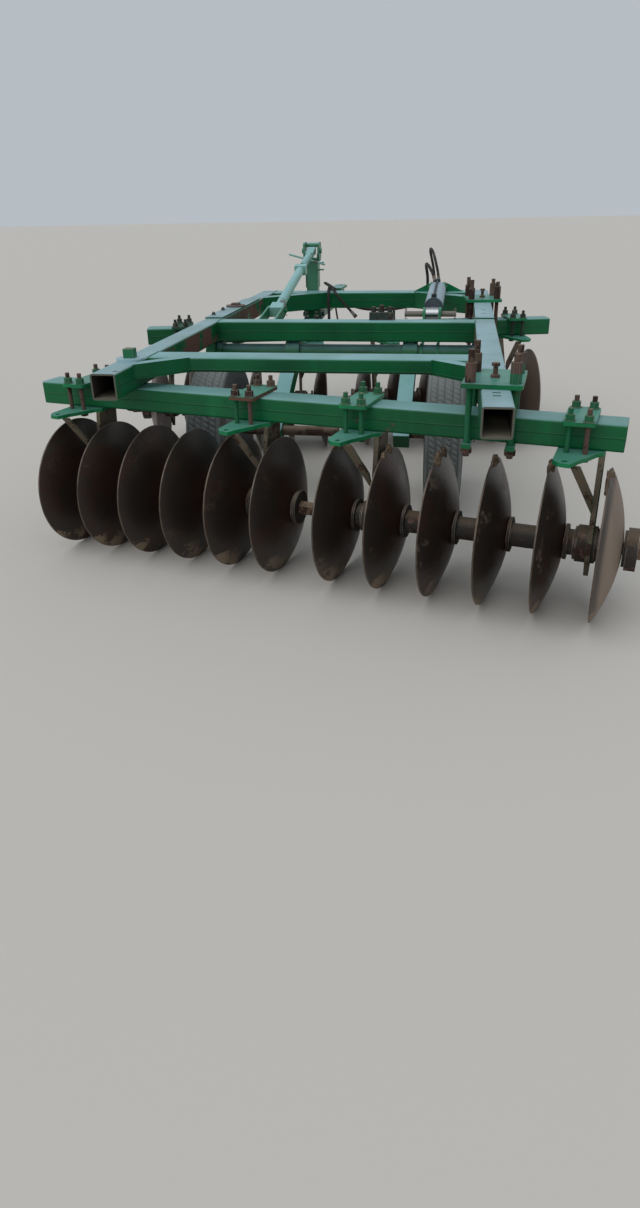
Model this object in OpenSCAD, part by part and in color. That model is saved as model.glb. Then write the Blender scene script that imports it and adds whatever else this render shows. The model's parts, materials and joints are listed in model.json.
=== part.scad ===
// Trailed offset disc harrow with hydraulic transport wheels.
// X runs to the right as seen from behind, Y forward to the hitch, Z up from the ground.
// Lengths are millimetres. Places are given in the machine's own frame: x = 0 midway between the
// side rails and y = 0 at the left rail's rear end. machine() moves it onto the bounding box's middle.

/* [Main frame] */
// Distance between the side rails' middle lines
rail_spacing = 1715; // [1500:5:2000]
// Side of the square tube of the rails and the middle cross tube
tube = 120; // [100:1:140]
// Wall of the frame tubes
tube_wall = 8; // [5:0.5:12]
// Outside corner radius of the frame tubes
tube_corner = 12; // [9:1:20]
// Height of the rails' top face over the ground
rail_top = 942; // [900:1:1000]
// How much further back the right rail ends than the left one
right_rail_tail = 476; // [300:2:600]
// Rear face of the rear cross tube
rear_cross_y = 410; // [380:5:450]
// Depth of the rear and front cross tubes, front to back
cross_depth = 160; // [120:5:180]
// Height of the rear cross tube
rear_cross_h = 70; // [60:1:100]
// Rear face of the middle cross tube
mid_cross_y = 1630; // [1550:5:1700]
// Rear face of the front cross tube
front_cross_y = 3250; // [3150:5:3400]
// How far a rear corner brace reaches along its cross tube, and back along its rail
rear_brace = [210, 190]; // [120:5:300]
// How far a front corner brace reaches along its cross tube, and back along its rail
front_brace = [450, 350]; // [300:5:500]
// Side of the front corner braces' tube
front_brace_w = 100; // [70:5:120]
// Side of the rear corner braces' tube
rear_brace_w = 60; // [50:5:70]
// Thickness of the plate laid on each rail's top under the front beam's fastening
doubler_t = 8; // [5:1:12]
// Length and width of the slots in the right rail's top, behind each clamp
slot_size = [32, 14]; // [10:1:50]

/* [Gang beams] */
// Width of a gang beam, front to back
beam_w = 145; // [120:1:170]
// Height of a gang beam
beam_h = 110; // [90:1:130]
// Length of the rear gang beam
rear_beam_len = 2785; // [2600:5:3000]
// Length of the front gang beam
front_beam_len = 2860; // [2600:5:3000]
// Swing of the rear beam: its right end lies further back
rear_angle = 12.75; // [8:0.25:16]
// Swing of the front beam: its right end lies further forward
front_angle = 11.5; // [8:0.25:16]
// Place of the rear beam's pivot pin on the left rail
rear_pivot_y = 339; // [320:1:360]
// Place of the front beam's pivot pin on the left rail
front_pivot_y = 2310; // [2200:5:2400]
// How far each beam's middle is shifted along itself, rear and front
beam_shift = [16, -75]; // [-150:1:150]

/* [Beam fastenings] */
// Diameter of the beams' pivot pins
pivot_d = 40; // [30:1:50]
// Diameter of the washer under a pivot pin's head
washer_d = 135; // [110:1:160]
// Width of a clamp's top plate, and its length along the rail
clamp_size = [240, 316]; // [220:2:340]
// Thickness of a clamp's top plate and of its straps
clamp_t = 18; // [12:1:25]
// Diameter of the clamp studs
clamp_stud_d = 26; // [20:1:28]
// Place of the clamp studs from the clamp's middle, sideways and lengthways
clamp_stud_at = [88, 106]; // [84:1:115]
// Width of the straps under the beam
clamp_strap_w = 38; // [30:2:40]

/* [Discs and gangs] */
// Disc diameter: a 660 mm disc worn by 20 mm
disc_d = 640; // [560:5:700]
// Dish depth of a disc
disc_dish = 83; // [60:1:100]
// Disc thickness
disc_t = 6; // [4:0.5:8]
// Distance between discs on a gang
disc_pitch = 230; // [215:1:260]
// Distance between the two discs at the middle of a row
middle_gap = 298; // [290:1:340]
// Number of discs on each gang
gang_discs = 6; // [4:1:8]
// How far the gang axles lie behind their beam's middle line, rear and front
gang_back = [78, 250]; // [50:1:300]
// How far each row of gangs is shifted along its beam from x = 0, rear and front
gang_shift = [160, -200]; // [-250:1:250]
// Diameter of the spool barrels between the discs
spool_d = 100; // [80:1:120]
// Diameter of the spool flanges
flange_d = 150; // [120:1:160]
// Thickness of the spool flanges
flange_t = 14; // [10:1:20]
// Side of the square gang axle
axle_sq = 36; // [28:1:45]
// Diameter of the bell washers at a gang's outer end
bell_d = 176; // [150:2:190]

/* [Hangers] */
// Diameter of the studs that clamp the hangers
stud_d = 20; // [16:1:24]
// Places of those studs across the beam, behind and ahead of its middle line
hanger_stud_v = [-126, 98]; // [-150:1:120]
// Thickness of the hanger plates
plate_t = 16; // [10:1:20]
// Width of a hanger's top plate along the beam
hanger_w = 126; // [110:2:150]
// Distance along the beam from a hanger's middle line to midway between its two discs, rear and front
hanger_offset = [110, 125]; // [100:1:130]
// Thickness of a hanger's upright plate
upright_t = 20; // [12:1:24]
// Thickness of the slanted brace from a hanger's nose to its upright
brace_t = 14; // [8:1:18]
// Diameter of the bearing housings
housing_d = 155; // [140:1:175]
// Width of the bearing housings
housing_w = 98; // [60:1:104]
// How far a housing lies from midway between its discs
housing_shift = 27; // [0:1:30]
// Radius of the hole in a hanger's nose, for a scraper bar
nose_hole_r = 11; // [8:0.5:14]
// Distance from the beam's middle line back to that hole
nose_hole_back = 245; // [220:1:260]

/* [Transport wheels] */
// Place of the rockshaft: distance forward of y = 0 and height
rockshaft = [1722, 735]; // [600:1:1800]
// Outside diameter of the rockshaft pipe
rockshaft_d = 114; // [100:1:124]
// Places of the wheel arms across the machine, left and right
arm_x = [-330, 412]; // [-450:1:450]
// Side of the square wheel arms
arm_w = 90; // [70:1:100]
// Place of the wheel axle at rest: distance forward of y = 0
wheel_y = 1100; // [1000:5:1200]
// Distance from the middle to a tyre's middle plane
wheel_x = 655; // [620:5:700]
// Outside diameter of the tyres
tyre_d = 800; // [720:5:840]
// Width of the tyres
tyre_w = 210; // [180:5:240]
// Depth of the grooves between the tyres' ribs
groove = 9; // [4:1:14]
// Diameter of the steel wheel's rim seat
rim_d = 420; // [380:5:440]
// Diameter of the stub axles
stub_d = 56; // [45:1:65]
// How far the left axle bar stands out on the arm's inner side
inner_bar = 330; // [50:10:340]

/* [Lift cylinder] */
// Distance of the cylinder's middle line from the middle
cyl_x = 530; // [500:5:560]
// Outside diameter of the barrel
cyl_d = 126; // [90:1:130]
// Rod diameter
rod_d = 50; // [35:1:60]
// Pin at the rockshaft lever: distance forward of y = 0 and height
lever_pin = [1990, 942]; // [800:1:2200]
// Pin at the front cross tube: distance forward of y = 0 and height
base_pin = [3130, 988]; // [900:1:3200]
// Diameter of the cylinder pins
cyl_pin_d = 32; // [25:1:38]
// Width of the eyes at both ends of the cylinder
eye_w = 80; // [60:2:90]
// Distance from the lever's pin to the barrel's open end
gland = 235; // [220:5:260]
// Thickness of the lever's and the bracket's plates
lever_t = 15; // [10:1:20]

/* [Drawbar and levelling link] */
// Place of the drawbar across the machine
drawbar_x = -512; // [-600:1:-480]
// Drawbar hinge: distance forward of y = 0 and height
drawbar_pin = [3520, 742]; // [700:1:3600]
// Length from the drawbar's hinge to the hitch pin
drawbar_len = 1650; // [1400:10:2000]
// Side of the drawbar's square tube
bar_w = 110; // [90:1:120]
// Width of the hitch tower's post, across
tower_w = 90; // [80:1:100]
// Height of the tower's top
tower_top = 1306; // [1290:1:1330]
// Levelling link's upper pin: distance forward of y = 0 and height
link_top = [3490, 1242]; // [1200:1:3600]
// Levelling link's lower pin: distance forward of y = 0 and height
link_low = [2080, 950]; // [900:1:2200]
// Outside diameter of the levelling link's tube
link_d = 62; // [50:1:70]
// Radius of the hitch pin's hole
hitch_r = 17; // [12:0.5:26]
// Radius of the drawbar's nose round the hitch pin
hitch_nose = 60; // [50:1:80]

/* [Hydraulics] */
// Outside diameter of the lift hose and of the return hose
hose_d = [20, 23]; // [16:1:24]
// Place of the valve block on the middle cross tube
valve_x = 230; // [100:5:300]

/* [Hidden] */
$fn = 48;
running = 0.05;
gap = 0.3;
left = -1;
right = 1;
rail_x = rail_spacing / 2;
rail_low = rail_top - tube;
beam_low = rail_low - beam_h;
rail_front = front_cross_y + cross_depth;
disc_r = disc_d / 2;
gang_z = disc_r;
dish_r = (disc_r * disc_r + disc_dish * disc_dish) / (2 * disc_dish);
half_row = (gang_discs - 1) * disc_pitch + middle_gap / 2;
axle_d = axle_sq * 1.41;
end_room = 100;
bore_d = 112;

// Rear face of each slot in the right rail's top
slot_places = [-305, -255, 1950, 2118];
// Where the plates on the rails' tops begin and end
doubler_y = [1760, 2790];
// Side and height of a pivot pin's square head, rear and front
pivot_head = [[50, 44], [54, 14]];
pivot_tail = 22;

stud_in = 35;
// How far a clamp's top plate reaches further ahead than behind
clamp_plate_ahead = 12;
// Room for the paint between a clamp's top plate and what it rests on
paint_room = 0.03;
// Share of a beam's swing that its clamp follows, so that its studs clear both the beam and the rail
clamp_share = 0.55;
nut_d = 2 * stud_d - 1;
nut_h = 26;
// Edges of a hanger's lower plate along the beam, on the nose's side and on the upright's side
nose_u = -74;
upright_u = 106;
// A hanger upright's edges where it meets the lower plate
upright_v = [-100, 36];
housing_lip = 8;

arm_end = [wheel_y, tyre_d / 2];
arm_len = norm(arm_end - rockshaft);
// Collar that wraps each arm round the pipe, clear of the middle cross tube above
arm_collar_d = 2 * (rail_low - rockshaft[1] - 7);
hub_half = 75;
hub_r = 55;

lever_elbow = rockshaft + [190, -20];
elbow_d = 84;
pin_boss = 50;
eye_d = cyl_pin_d + 46;
// How far the lever's pin stands out past its plates, left and right
lever_pin_ends = [118, 96];
cyl_len = norm(base_pin - lever_pin);
rod_len = gland + 0.42 * (cyl_len - gland);
cap_len = 130;
lug_x = eye_w / 2 + 2.5 + lever_t / 2;

link_len = norm(link_top - link_low);
link_pin_d = 28;
drawbar_pin_d = 36;
lug_t = 15;
// Heights of the wider cheeks on the tower's post
cheek_z = [960, 1220];
// Place along the levelling link of its adjusting block and of its tommy bar
block_at = 0.62 * link_len;
tommy_at = 0.83 * link_len;

// Rows, by the columns below
ANGLE = 0;
BEAM_Y = 1;
BEAM_LEN = 2;
BEAM_SHIFT = 3;
GANG_SHIFT = 4;
BULGE = 5;
BACK = 6;
OFFSET = 7;
UNDER = 8;
HEAD = 9;
REAR = [-rear_angle, rear_pivot_y - rail_x * tan(rear_angle), rear_beam_len, beam_shift[0],
    gang_shift[0], right, gang_back[0], hanger_offset[0], 0, pivot_head[0]];
FRONT = [front_angle, front_pivot_y + rail_x * tan(front_angle), front_beam_len, beam_shift[1],
    gang_shift[1], left, gang_back[1], hanger_offset[1], doubler_t, pivot_head[1]];

// Bounding box of the machine, which its frame is centred on
axle_end = half_row + end_room;
rear_y = REAR[BEAM_Y] - (REAR[GANG_SHIFT] + half_row - disc_dish) * sin(rear_angle)
    - (REAR[BACK] + disc_r) * cos(rear_angle);
front_y = drawbar_pin[0] + drawbar_len + hitch_nose;
left_x = (FRONT[GANG_SHIFT] - axle_end) * cos(front_angle) + (FRONT[BACK] - axle_d / 2) * sin(front_angle);
right_x = (REAR[GANG_SHIFT] + axle_end) * cos(rear_angle) - (REAR[BACK] - axle_d / 2) * sin(rear_angle);
shift = [-(left_x + right_x) / 2, -(front_y + rear_y) / 2, 0];

// Routes of the two hoses, from the fitting above the base pin to the coupler behind the front cross tube
LIFT_ROUTE = [[530, 3131, 1075], [525, 3132, 1105], [514, 3138, 1145], [500, 3158, 1192], [484, 3206, 1232],
    [468, 3272, 1254], [456, 3346, 1252], [455, 3414, 1222], [466, 3464, 1168], [480, 3490, 1100],
    [490, 3500, 1026], [484, 3496, 954], [456, 3488, 898], [404, 3478, 860], [330, 3470, 838],
    [240, 3468, 828], [150, 3468, 824], [60, 3468, 826], [-30, 3468, 832], [-118, 3468, 848],
    [-200, 3470, 876], [-272, 3474, 914], [-328, 3470, 952], [-368, 3448, 982], [-388, 3412, 998],
    [-388, 3370, 1003], [-372, 3330, 1001], [-346, 3294, 992], [-316, 3262, 974], [-286, 3234, 948],
    [-254, 3214, 914], [-220, 3204, 876], [-184, 3200, 838], [-152, 3199, 804]];
RETURN_ROUTE = [[494, 3146, 1070], [485, 3158, 1092], [470, 3180, 1115], [456, 3210, 1134], [443, 3252, 1144],
    [433, 3298, 1147], [427, 3342, 1140], [426, 3384, 1122], [429, 3422, 1094], [434, 3456, 1056],
    [437, 3484, 1010], [434, 3508, 960], [420, 3526, 910], [390, 3538, 864], [344, 3544, 828],
    [282, 3546, 802], [206, 3546, 786], [112, 3544, 776], [12, 3542, 774], [-86, 3541, 782],
    [-172, 3540, 802], [-246, 3534, 834], [-302, 3516, 872], [-338, 3484, 912], [-354, 3442, 944],
    [-355, 3396, 962], [-350, 3346, 968], [-345, 3298, 966], [-340, 3252, 958], [-336, 3217, 928],
    [-334, 3202, 888], [-333, 3197, 842], [-332, 3197, 784], [-332, 3198, 720]];
hose_sides = 10;
ferrule = 34;
fitting_z = base_pin[1] + eye_d / 2 - 4;

side_rails();
cross_tubes();
corner_braces();
gang_beams();
beam_pivots();
beam_clamps();
clamp_studs();
hanger_plates();
hanger_studs();
standards();
bearing_housings();
rockshaft_bearings();
cylinder_bracket();
link_bracket();
drawbar_bracket();
valve_block();
hose_hook();
hose_ends();
hose(LIFT_ROUTE, hose_d[0]);  // lift_hose
hose(RETURN_ROUTE, hose_d[1]);  // return_hose
gang_discs_of(REAR, left);  // rear_left_discs
gang_spools_of(REAR, left);  // rear_left_spools
gang_axle_of(REAR, left);  // rear_left_axle
gang_discs_of(REAR, right);  // rear_right_discs
gang_spools_of(REAR, right);  // rear_right_spools
gang_axle_of(REAR, right);  // rear_right_axle
gang_discs_of(FRONT, left);  // front_left_discs
gang_spools_of(FRONT, left);  // front_left_spools
gang_axle_of(FRONT, left);  // front_left_axle
gang_discs_of(FRONT, right);  // front_right_discs
gang_spools_of(FRONT, right);  // front_right_spools
gang_axle_of(FRONT, right);  // front_right_axle
rockshaft_pipe();
wheel_arms();
cylinder_lever();
stub_axles();
tyre(left);  // left_tyre
wheel(left);  // left_wheel
tyre(right);  // right_tyre
wheel(right);  // right_wheel
cylinder_barrel();
cylinder_rod();
drawbar();
hitch_tower();
link_tube();
link_screw();

// Frames

module machine() {
    translate(shift) children();
}

// A beam's own frame: u along the beam from x = 0, v forward across it, z from the ground
module on_beam(row, u = 0, v = 0, z = 0) {
    translate([0, row[BEAM_Y], 0]) rotate([0, 0, row[ANGLE]]) translate([u, v, z]) children();
}

// A cylinder along X, from x0 to x1
module shaft_x(x0, x1, d, at = [0, 0]) {
    translate([x0, at[0], at[1]]) rotate([0, 90, 0]) cylinder(h = x1 - x0, d = d);
}

// A cylinder along Y, from y0 to y1
module shaft_y(y0, y1, d, at = [0, 0]) {
    translate([at[0], y0, at[1]]) rotate([-90, 0, 0]) cylinder(h = y1 - y0, d = d);
}

// A frame with its Y axis from one point to another in the plane of x
module along(x, from, to) {
    translate([x, from[0], from[1]]) rotate([atan2(to[1] - from[1], to[0] - from[0]), 0, 0]) children();
}

// A frame with its Z axis along a direction
module facing(at, aim) {
    translate(at) rotate([0, acos(aim[2]), atan2(aim[1], aim[0])]) children();
}

// Profiles

module rounded(size, r) {
    w = size[0] / 2 - r;
    h = size[1] / 2 - r;
    square([2 * w, size[1]], center = true);
    square([size[0], 2 * h], center = true);
    for (x = [-w, w], y = [-h, h])
        translate([x, y]) circle(r);
}

// A standing plate, its outline in forward distance and height, from x0 to x1
module plate_x(x0, x1, outline) {
    translate([x0, 0, 0]) rotate([90, 0, 90]) linear_extrude(x1 - x0) polygon(outline);
}

// Square or oblong tube along Y from y0 to y1, middle line at x, top at z; caps are closed ends
module tube_y(x, y0, y1, size, top, cap0 = 0, cap1 = 0) {
    translate([x, y0, top - size[1] / 2]) rotate([-90, 0, 0]) difference() {
        linear_extrude(y1 - y0) rounded(size, tube_corner);
        translate([0, 0, cap0 > 0 ? cap0 : -1])
            linear_extrude(y1 - y0 - cap0 - cap1 + (cap0 > 0 ? 0 : 1) + (cap1 > 0 ? 0 : 1))
                rounded(size - [2, 2] * tube_wall, tube_corner - tube_wall);
    }
}

// The same along X between two x
module tube_x(x0, x1, y, size, top) {
    translate([0, y, 0]) rotate([0, 0, -90]) tube_y(0, x0, x1, size, top);
}

// Main frame

module side_rails() {
    color("SeaGreen") machine() difference() {
        for (rail = [[left, 0], [right, -right_rail_tail]]) {
            tube_y(rail[0] * rail_x, rail[1], rail_front, [tube, tube], rail_top, 0, tube_wall);
            translate([rail[0] * rail_x - tube / 2 + 3, doubler_y[0], rail_top - 1])
                cube([tube - 6, doubler_y[1] - doubler_y[0], doubler_t + 1]);
        }
        pivot_bores();
        for (y = slot_places)
            translate([rail_x - slot_size[0] / 2, y, rail_top - tube_wall - 1])
                cube([slot_size[0], slot_size[1], tube_wall + doubler_t + 2]);
    }
}

module cross_tubes() {
    inner = rail_x - tube / 2;
    color("SeaGreen") machine() {
        tube_x(-inner, inner, rear_cross_y + cross_depth / 2, [cross_depth, rear_cross_h], rail_top);
        tube_x(-inner, inner, mid_cross_y + tube / 2, [tube, tube], rail_top);
        tube_x(-inner, inner, front_cross_y + cross_depth / 2, [cross_depth, tube], rail_top);
    }
}

module corner_braces() {
    inner = rail_x - tube / 2;
    // columns: cross tube's rear face, reach along it, reach along the rail, tube width, height
    table = [
        [rear_cross_y, rear_brace[0], rear_brace[1], rear_brace_w, rear_cross_h],
        [front_cross_y, front_brace[0], front_brace[1], front_brace_w, tube]];
    color("SeaGreen") machine() for (b = table, side = [left, right])
        brace(side, inner, b[0], b[1], b[2], b[3], b[4]);
}

// A diagonal tube mitred against the rail's inner face and the cross tube's rear face
module brace(side, inner, y, along_cross, along_rail, w, h) {
    span = norm([along_cross, along_rail]);
    turn = atan2(along_rail, along_cross);
    translate([0, 0, rail_top - h]) linear_extrude(h) intersection() {
        translate([side * inner, y - along_rail]) rotate(side > 0 ? 180 - turn : turn)
            translate([-w * 3, side > 0 ? -w : 0]) square([span + 6 * w, w]);
        translate([side > 0 ? 0 : -inner, y - along_rail - 2 * w]) square([inner, along_rail + 2 * w]);
    }
}

module gang_beams() {
    color("SeaGreen") machine() difference() {
        for (row = [REAR, FRONT])
            on_beam(row, row[BEAM_SHIFT]) rotate([0, 0, -90])
                tube_y(0, -row[BEAM_LEN] / 2, row[BEAM_LEN] / 2, [beam_w, beam_h], rail_low);
        pivot_bores();
    }
}

// Beam pivots on the left rail and clamps on the right rail

module at_pivots() {
    for (row = [REAR, FRONT])
        translate([-rail_x, row[BEAM_Y] - rail_x * tan(row[ANGLE]), 0]) {
            $under = row[UNDER];
            $head = row[HEAD];
            children();
        }
}

module pivot_bores() {
    at_pivots() translate([0, 0, beam_low - 1])
        cylinder(h = beam_h + tube + doubler_t + 2, d = pivot_d + 0.2);
}

module beam_pivots() {
    washer_t = 10;
    color("SlateGray") machine() at_pivots() {
        top = rail_top + $under;
        translate([0, 0, beam_low - pivot_tail]) cylinder(h = top - beam_low + pivot_tail, d = pivot_d);
        translate([0, 0, top]) cylinder(h = washer_t, d = washer_d);
        translate([-$head[0] / 2, -$head[0] / 2, top + washer_t]) cube([$head[0], $head[0], $head[1]]);
        translate([0, 0, beam_low - washer_t]) cylinder(h = washer_t, d = washer_d - 40);
    }
}

// The crossing of a beam and the right rail, turned with the beam
module at_clamps() {
    for (row = [REAR, FRONT])
        on_beam(row, rail_x / cos(row[ANGLE])) rotate([0, 0, (clamp_share - 1) * row[ANGLE]]) {
            $under = row[UNDER];
            children();
        }
}

module beam_clamps() {
    strap_len = 2 * clamp_stud_at[1] + 56;
    color("MediumSeaGreen") machine() at_clamps() difference() {
        union() {
            translate([0, clamp_plate_ahead, rail_top + $under + paint_room]) linear_extrude(clamp_t)
                rounded(clamp_size, 14);
            for (u = [-1, 1] * clamp_stud_at[0])
                translate([u - clamp_strap_w / 2, -strap_len / 2, beam_low - clamp_t])
                    cube([clamp_strap_w, strap_len, clamp_t]);
        }
        for (u = [-1, 1] * clamp_stud_at[0], v = [-1, 1] * clamp_stud_at[1])
            translate([u, v, beam_low - 50]) cylinder(h = 400, d = clamp_stud_d + 0.2);
    }
}

// Long studs: a sleeve under the nut on the left, two stacked nuts on the right, a jack bolt between
module clamp_studs() {
    nut = 46;
    // columns: side along the beam, height of the sleeve or of the nuts, diameter, $fn, stud above it
    table = [[left, 76, 43, 48, 52], [right, 84, nut, 6, 30]];
    color("Sienna") machine() at_clamps() {
        top = rail_top + $under + paint_room + clamp_t;
        for (s = table, v = [-1, 1] * clamp_stud_at[1]) translate([s[0] * clamp_stud_at[0], v, 0]) {
            translate([0, 0, beam_low - clamp_t - 36])
                cylinder(h = top - beam_low + clamp_t + 36 + s[1] + s[4], d = clamp_stud_d);
            translate([0, 0, beam_low - clamp_t - 24]) cylinder(h = 24, d = nut, $fn = 6);
            translate([0, 0, top]) cylinder(h = s[1], d = s[2], $fn = s[3]);
        }
        translate([0, 0, top]) cylinder(h = 12, d = 38, $fn = 6);
        translate([0, 0, top]) cylinder(h = 46, d = 20);
        translate([0, 0, top + 46]) cylinder(h = 13, d = 34, $fn = 6);
    }
}

// Hangers: a top plate, a nosed lower plate, studs, an upright with its brace, a bearing housing

// Places midway between the two discs at each bearing, measured from the row's middle
function bearings() = [for (side = [left, right], k = [0, gang_discs - 2])
    side * (middle_gap / 2 + (k + 0.5) * disc_pitch)];

module at_hangers() {
    for (row = [REAR, FRONT], s = bearings())
        on_beam(row, row[GANG_SHIFT] + s - row[BULGE] * row[OFFSET]) mirror([row[BULGE] < 0 ? 1 : 0, 0, 0]) {
            $row = row;
            children();
        }
}

module at_studs(z) {
    for (u = [-stud_in, stud_in], v = hanger_stud_v)
        translate([u, v, z]) children();
}

module hanger_plates() {
    edge = hanger_stud_v[1] + 22;
    top_len = hanger_stud_v[1] - hanger_stud_v[0] + 44;
    top_v = (hanger_stud_v[0] + hanger_stud_v[1]) / 2;
    nose = [[nose_u, edge], [upright_u, edge], [upright_u, -76], [78, -108], [56, -158], [22, -214],
        [-5, -nose_hole_back - 32], [-50, -nose_hole_back - 26], [nose_u, -nose_hole_back + 10]];
    color("MediumSeaGreen") machine() at_hangers() difference() {
        union() {
            translate([0, top_v, rail_low]) linear_extrude(plate_t) rounded([hanger_w, top_len], 16);
            translate([0, 0, beam_low - plate_t]) linear_extrude(plate_t) polygon(nose);
        }
        at_studs(beam_low - 60) cylinder(h = beam_h + 120, d = stud_d + 0.2);
        translate([-28, -nose_hole_back, beam_low - 2 * plate_t]) cylinder(h = 3 * plate_t, r = nose_hole_r);
    }
}

module hanger_studs() {
    low_nut = 14;
    color("Sienna") machine() at_hangers() at_studs(0) {
        translate([0, 0, beam_low - plate_t - low_nut - 2])
            cylinder(h = beam_h + 2 * plate_t + low_nut + 2 + nut_h + 24, d = stud_d);
        translate([0, 0, beam_low - plate_t - low_nut]) rotate(30)
            cylinder(h = low_nut, d = nut_d - 3, $fn = 6);
        translate([0, 0, rail_low + plate_t]) cylinder(h = 4, d = nut_d + 6);
        translate([0, 0, rail_low + plate_t + 4]) rotate(30) cylinder(h = nut_h - 4, d = nut_d, $fn = 6);
    }
}

// An upright plate that widens round the housing and ends in a point, and the brace from the nose
module standards() {
    top = beam_low - plate_t;
    ring_r = housing_d / 2 + 11;
    side_v = ring_r - 5;
    brace_top = [nose_u + 67, nose_u + 105];
    brace_z = [gang_z + 150, gang_z + 236];
    color("SaddleBrown") machine() at_hangers() {
        back = -$row[BACK];
        u1 = upright_u;
        u0 = upright_u - upright_t;
        // The brace's foot lies just inside the upright's rear edge, which runs straight from plate to ring
        rear_slope = (back - side_v - upright_v[0]) / (top - gang_z);
        foot_v = upright_v[0] + rear_slope * (top - brace_z[0]) + 3;
        head_v = -nose_hole_back - 4;
        lean = (foot_v - head_v) / (brace_z[0] - top);
        difference() {
            union() {
                plate_x(u0, u1, [[upright_v[0], top], [back - side_v, gang_z],
                    [back - side_v + 5, gang_z - 34], [back, gang_z - 144], [back + side_v - 5, gang_z - 34],
                    [back + side_v, gang_z], [upright_v[1], top]]);
                shaft_x(u0, u1, 2 * ring_r, [back, gang_z]);
            }
            translate([0, back, gang_z]) shaft_x(-300, 300, housing_d);
        }
        translate([0, head_v, top]) multmatrix([[1, 0, 0, 0], [0, 1, lean, 0], [0, 0, 1, 0]])
            translate([0, brace_t, -top]) rotate([90, 0, 0]) linear_extrude(brace_t)
                polygon([[brace_top[0], top], [brace_top[1], top],
                    [u0 + 2, brace_z[1]], [u0 + 2, brace_z[0]]]);
    }
}

module bearing_housings() {
    r = housing_d / 2;
    w = housing_w / 2;
    color("DimGray") machine() at_hangers()
        translate([$row[OFFSET] - housing_shift, -$row[BACK], gang_z]) rotate([0, 90, 0])
            rotate_extrude() polygon([[bore_d / 2 + running, -w], [r - 8, -w], [r - 8, -w + housing_lip],
                [r, -w + housing_lip + 3], [r, w - housing_lip - 3], [r - 8, w - housing_lip], [r - 8, w],
                [bore_d / 2 + running, w]]);
}

// Gangs

// A gang's frame, on its axle: u along the beam from x = 0
module on_gang(row) {
    on_beam(row, row[GANG_SHIFT], -row[BACK], gang_z) children();
}

// Places of a gang's discs, along the row from its middle, in rising order
function disc_places(side) = [for (k = [0 : gang_discs - 1])
    let (n = side > 0 ? k : gang_discs - 1 - k) side * (middle_gap / 2 + n * disc_pitch)];

// A dished disc about the X axis, convex side to +x, its middle's convex face at x = 0
module dish() {
    rotate([0, -90, 0]) rotate_extrude($fn = 96) difference() {
        intersection() {
            difference() {
                translate([0, dish_r]) circle(dish_r, $fn = 360);
                translate([0, dish_r + disc_t]) circle(dish_r, $fn = 360);
            }
            translate([0, -1]) square([disc_r, disc_dish + 2 * disc_t]);
        }
        translate([-1, -1]) square([1 + axle_sq * 0.72, disc_dish]);
    }
}

module gang_discs_of(row, side) {
    color("DimGray") machine() on_gang(row)
        for (u = disc_places(side)) translate([u, 0, 0]) mirror([row[BULGE] < 0 ? 1 : 0, 0, 0]) dish();
}

module gang_spools_of(row, side) {
    places = disc_places(side);
    color("DarkSlateGray") machine() on_gang(row) difference() {
        union() {
            for (k = [0 : gang_discs - 2])
                spool(row, places[k], places[k + 1], (side > 0 ? k : gang_discs - 2 - k));
            end_washer(row, side, places[0], left);
            end_washer(row, side, places[gang_discs - 1], right);
        }
        shaft_x(-2000, 2000, axle_d + 0.5);
    }
}

// How far from a disc's apex plane a face of diameter d has to stay: nearly flat on its convex
// side, past the dish on its hollow side
function clear_of(row, facing, d) = facing == row[BULGE] ? gap
    : disc_t + gap + dish_r - sqrt(dish_r * dish_r - d * d / 4);

// One spool between two discs; those at a bearing have a wider journal
module spool(row, u0, u1, k) {
    journal = k == 0 || k == gang_discs - 2;
    d = journal ? bore_d - 4 : spool_d;
    shaft_x(u0 + clear_of(row, right, d), u1 - clear_of(row, left, d), d);
    a = u0 + clear_of(row, right, flange_d);
    b = u1 - clear_of(row, left, flange_d);
    shaft_x(a, a + flange_t, flange_d);
    shaft_x(b - flange_t, b, flange_d);
    if (journal) {
        c = (u0 + u1) / 2 - row[BULGE] * housing_shift;
        shaft_x(c - housing_w / 2 - 3, c + housing_w / 2 + 3, bore_d);
    }
}

// Washers past a gang's first or last disc: a bell at the outer end, a dished one at the inner end
module end_washer(row, side, place, facing) {
    outer = side == facing;
    d = outer ? bell_d : flange_d + 10;
    a = clear_of(row, facing, flange_d);
    b = clear_of(row, facing, d);
    translate([place, 0, 0]) mirror([facing < 0 ? 1 : 0, 0, 0]) {
        shaft_x(a, b + 8, flange_d - 10);
        shaft_x(b, b + 12, flange_d);
        if (outer) shaft_x(b + 12, b + 56, d);
        else shaft_x(b + 12, b + 24, d);
    }
}

module gang_axle_of(row, side) {
    places = disc_places(side);
    last = gang_discs - 1;
    color("SaddleBrown") machine() on_gang(row) {
        shaft_x(places[0] - end_room, places[last] + end_room, axle_d);
        for (facing = [left, right]) {
            outer = side == facing;
            washer = clear_of(row, facing, outer ? bell_d : flange_d + 10) + (outer ? 56 : 24) + gap;
            translate([facing < 0 ? places[0] : places[last], 0, 0]) mirror([facing < 0 ? 1 : 0, 0, 0])
                rotate([0, 90, 0]) translate([0, 0, washer])
                    cylinder(h = end_room - washer - 8, d = outer ? 84 : 66, $fn = 6);
        }
    }
}

// Rockshaft, arms and wheels

module rockshaft_bearings() {
    w = rail_low - rockshaft[1] - 3;
    color("SeaGreen") machine() for (side = [left, right]) difference() {
        union() {
            translate([side * rail_x - 30, rockshaft[0] - w, rockshaft[1]])
                cube([60, 2 * w, rail_low - rockshaft[1]]);
            shaft_x(side * rail_x - 30, side * rail_x + 30, 2 * w, rockshaft);
        }
        translate([0, rockshaft[0], rockshaft[1]])
            shaft_x(-2000, 2000, rockshaft_d + 2 * running);
    }
}

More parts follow.
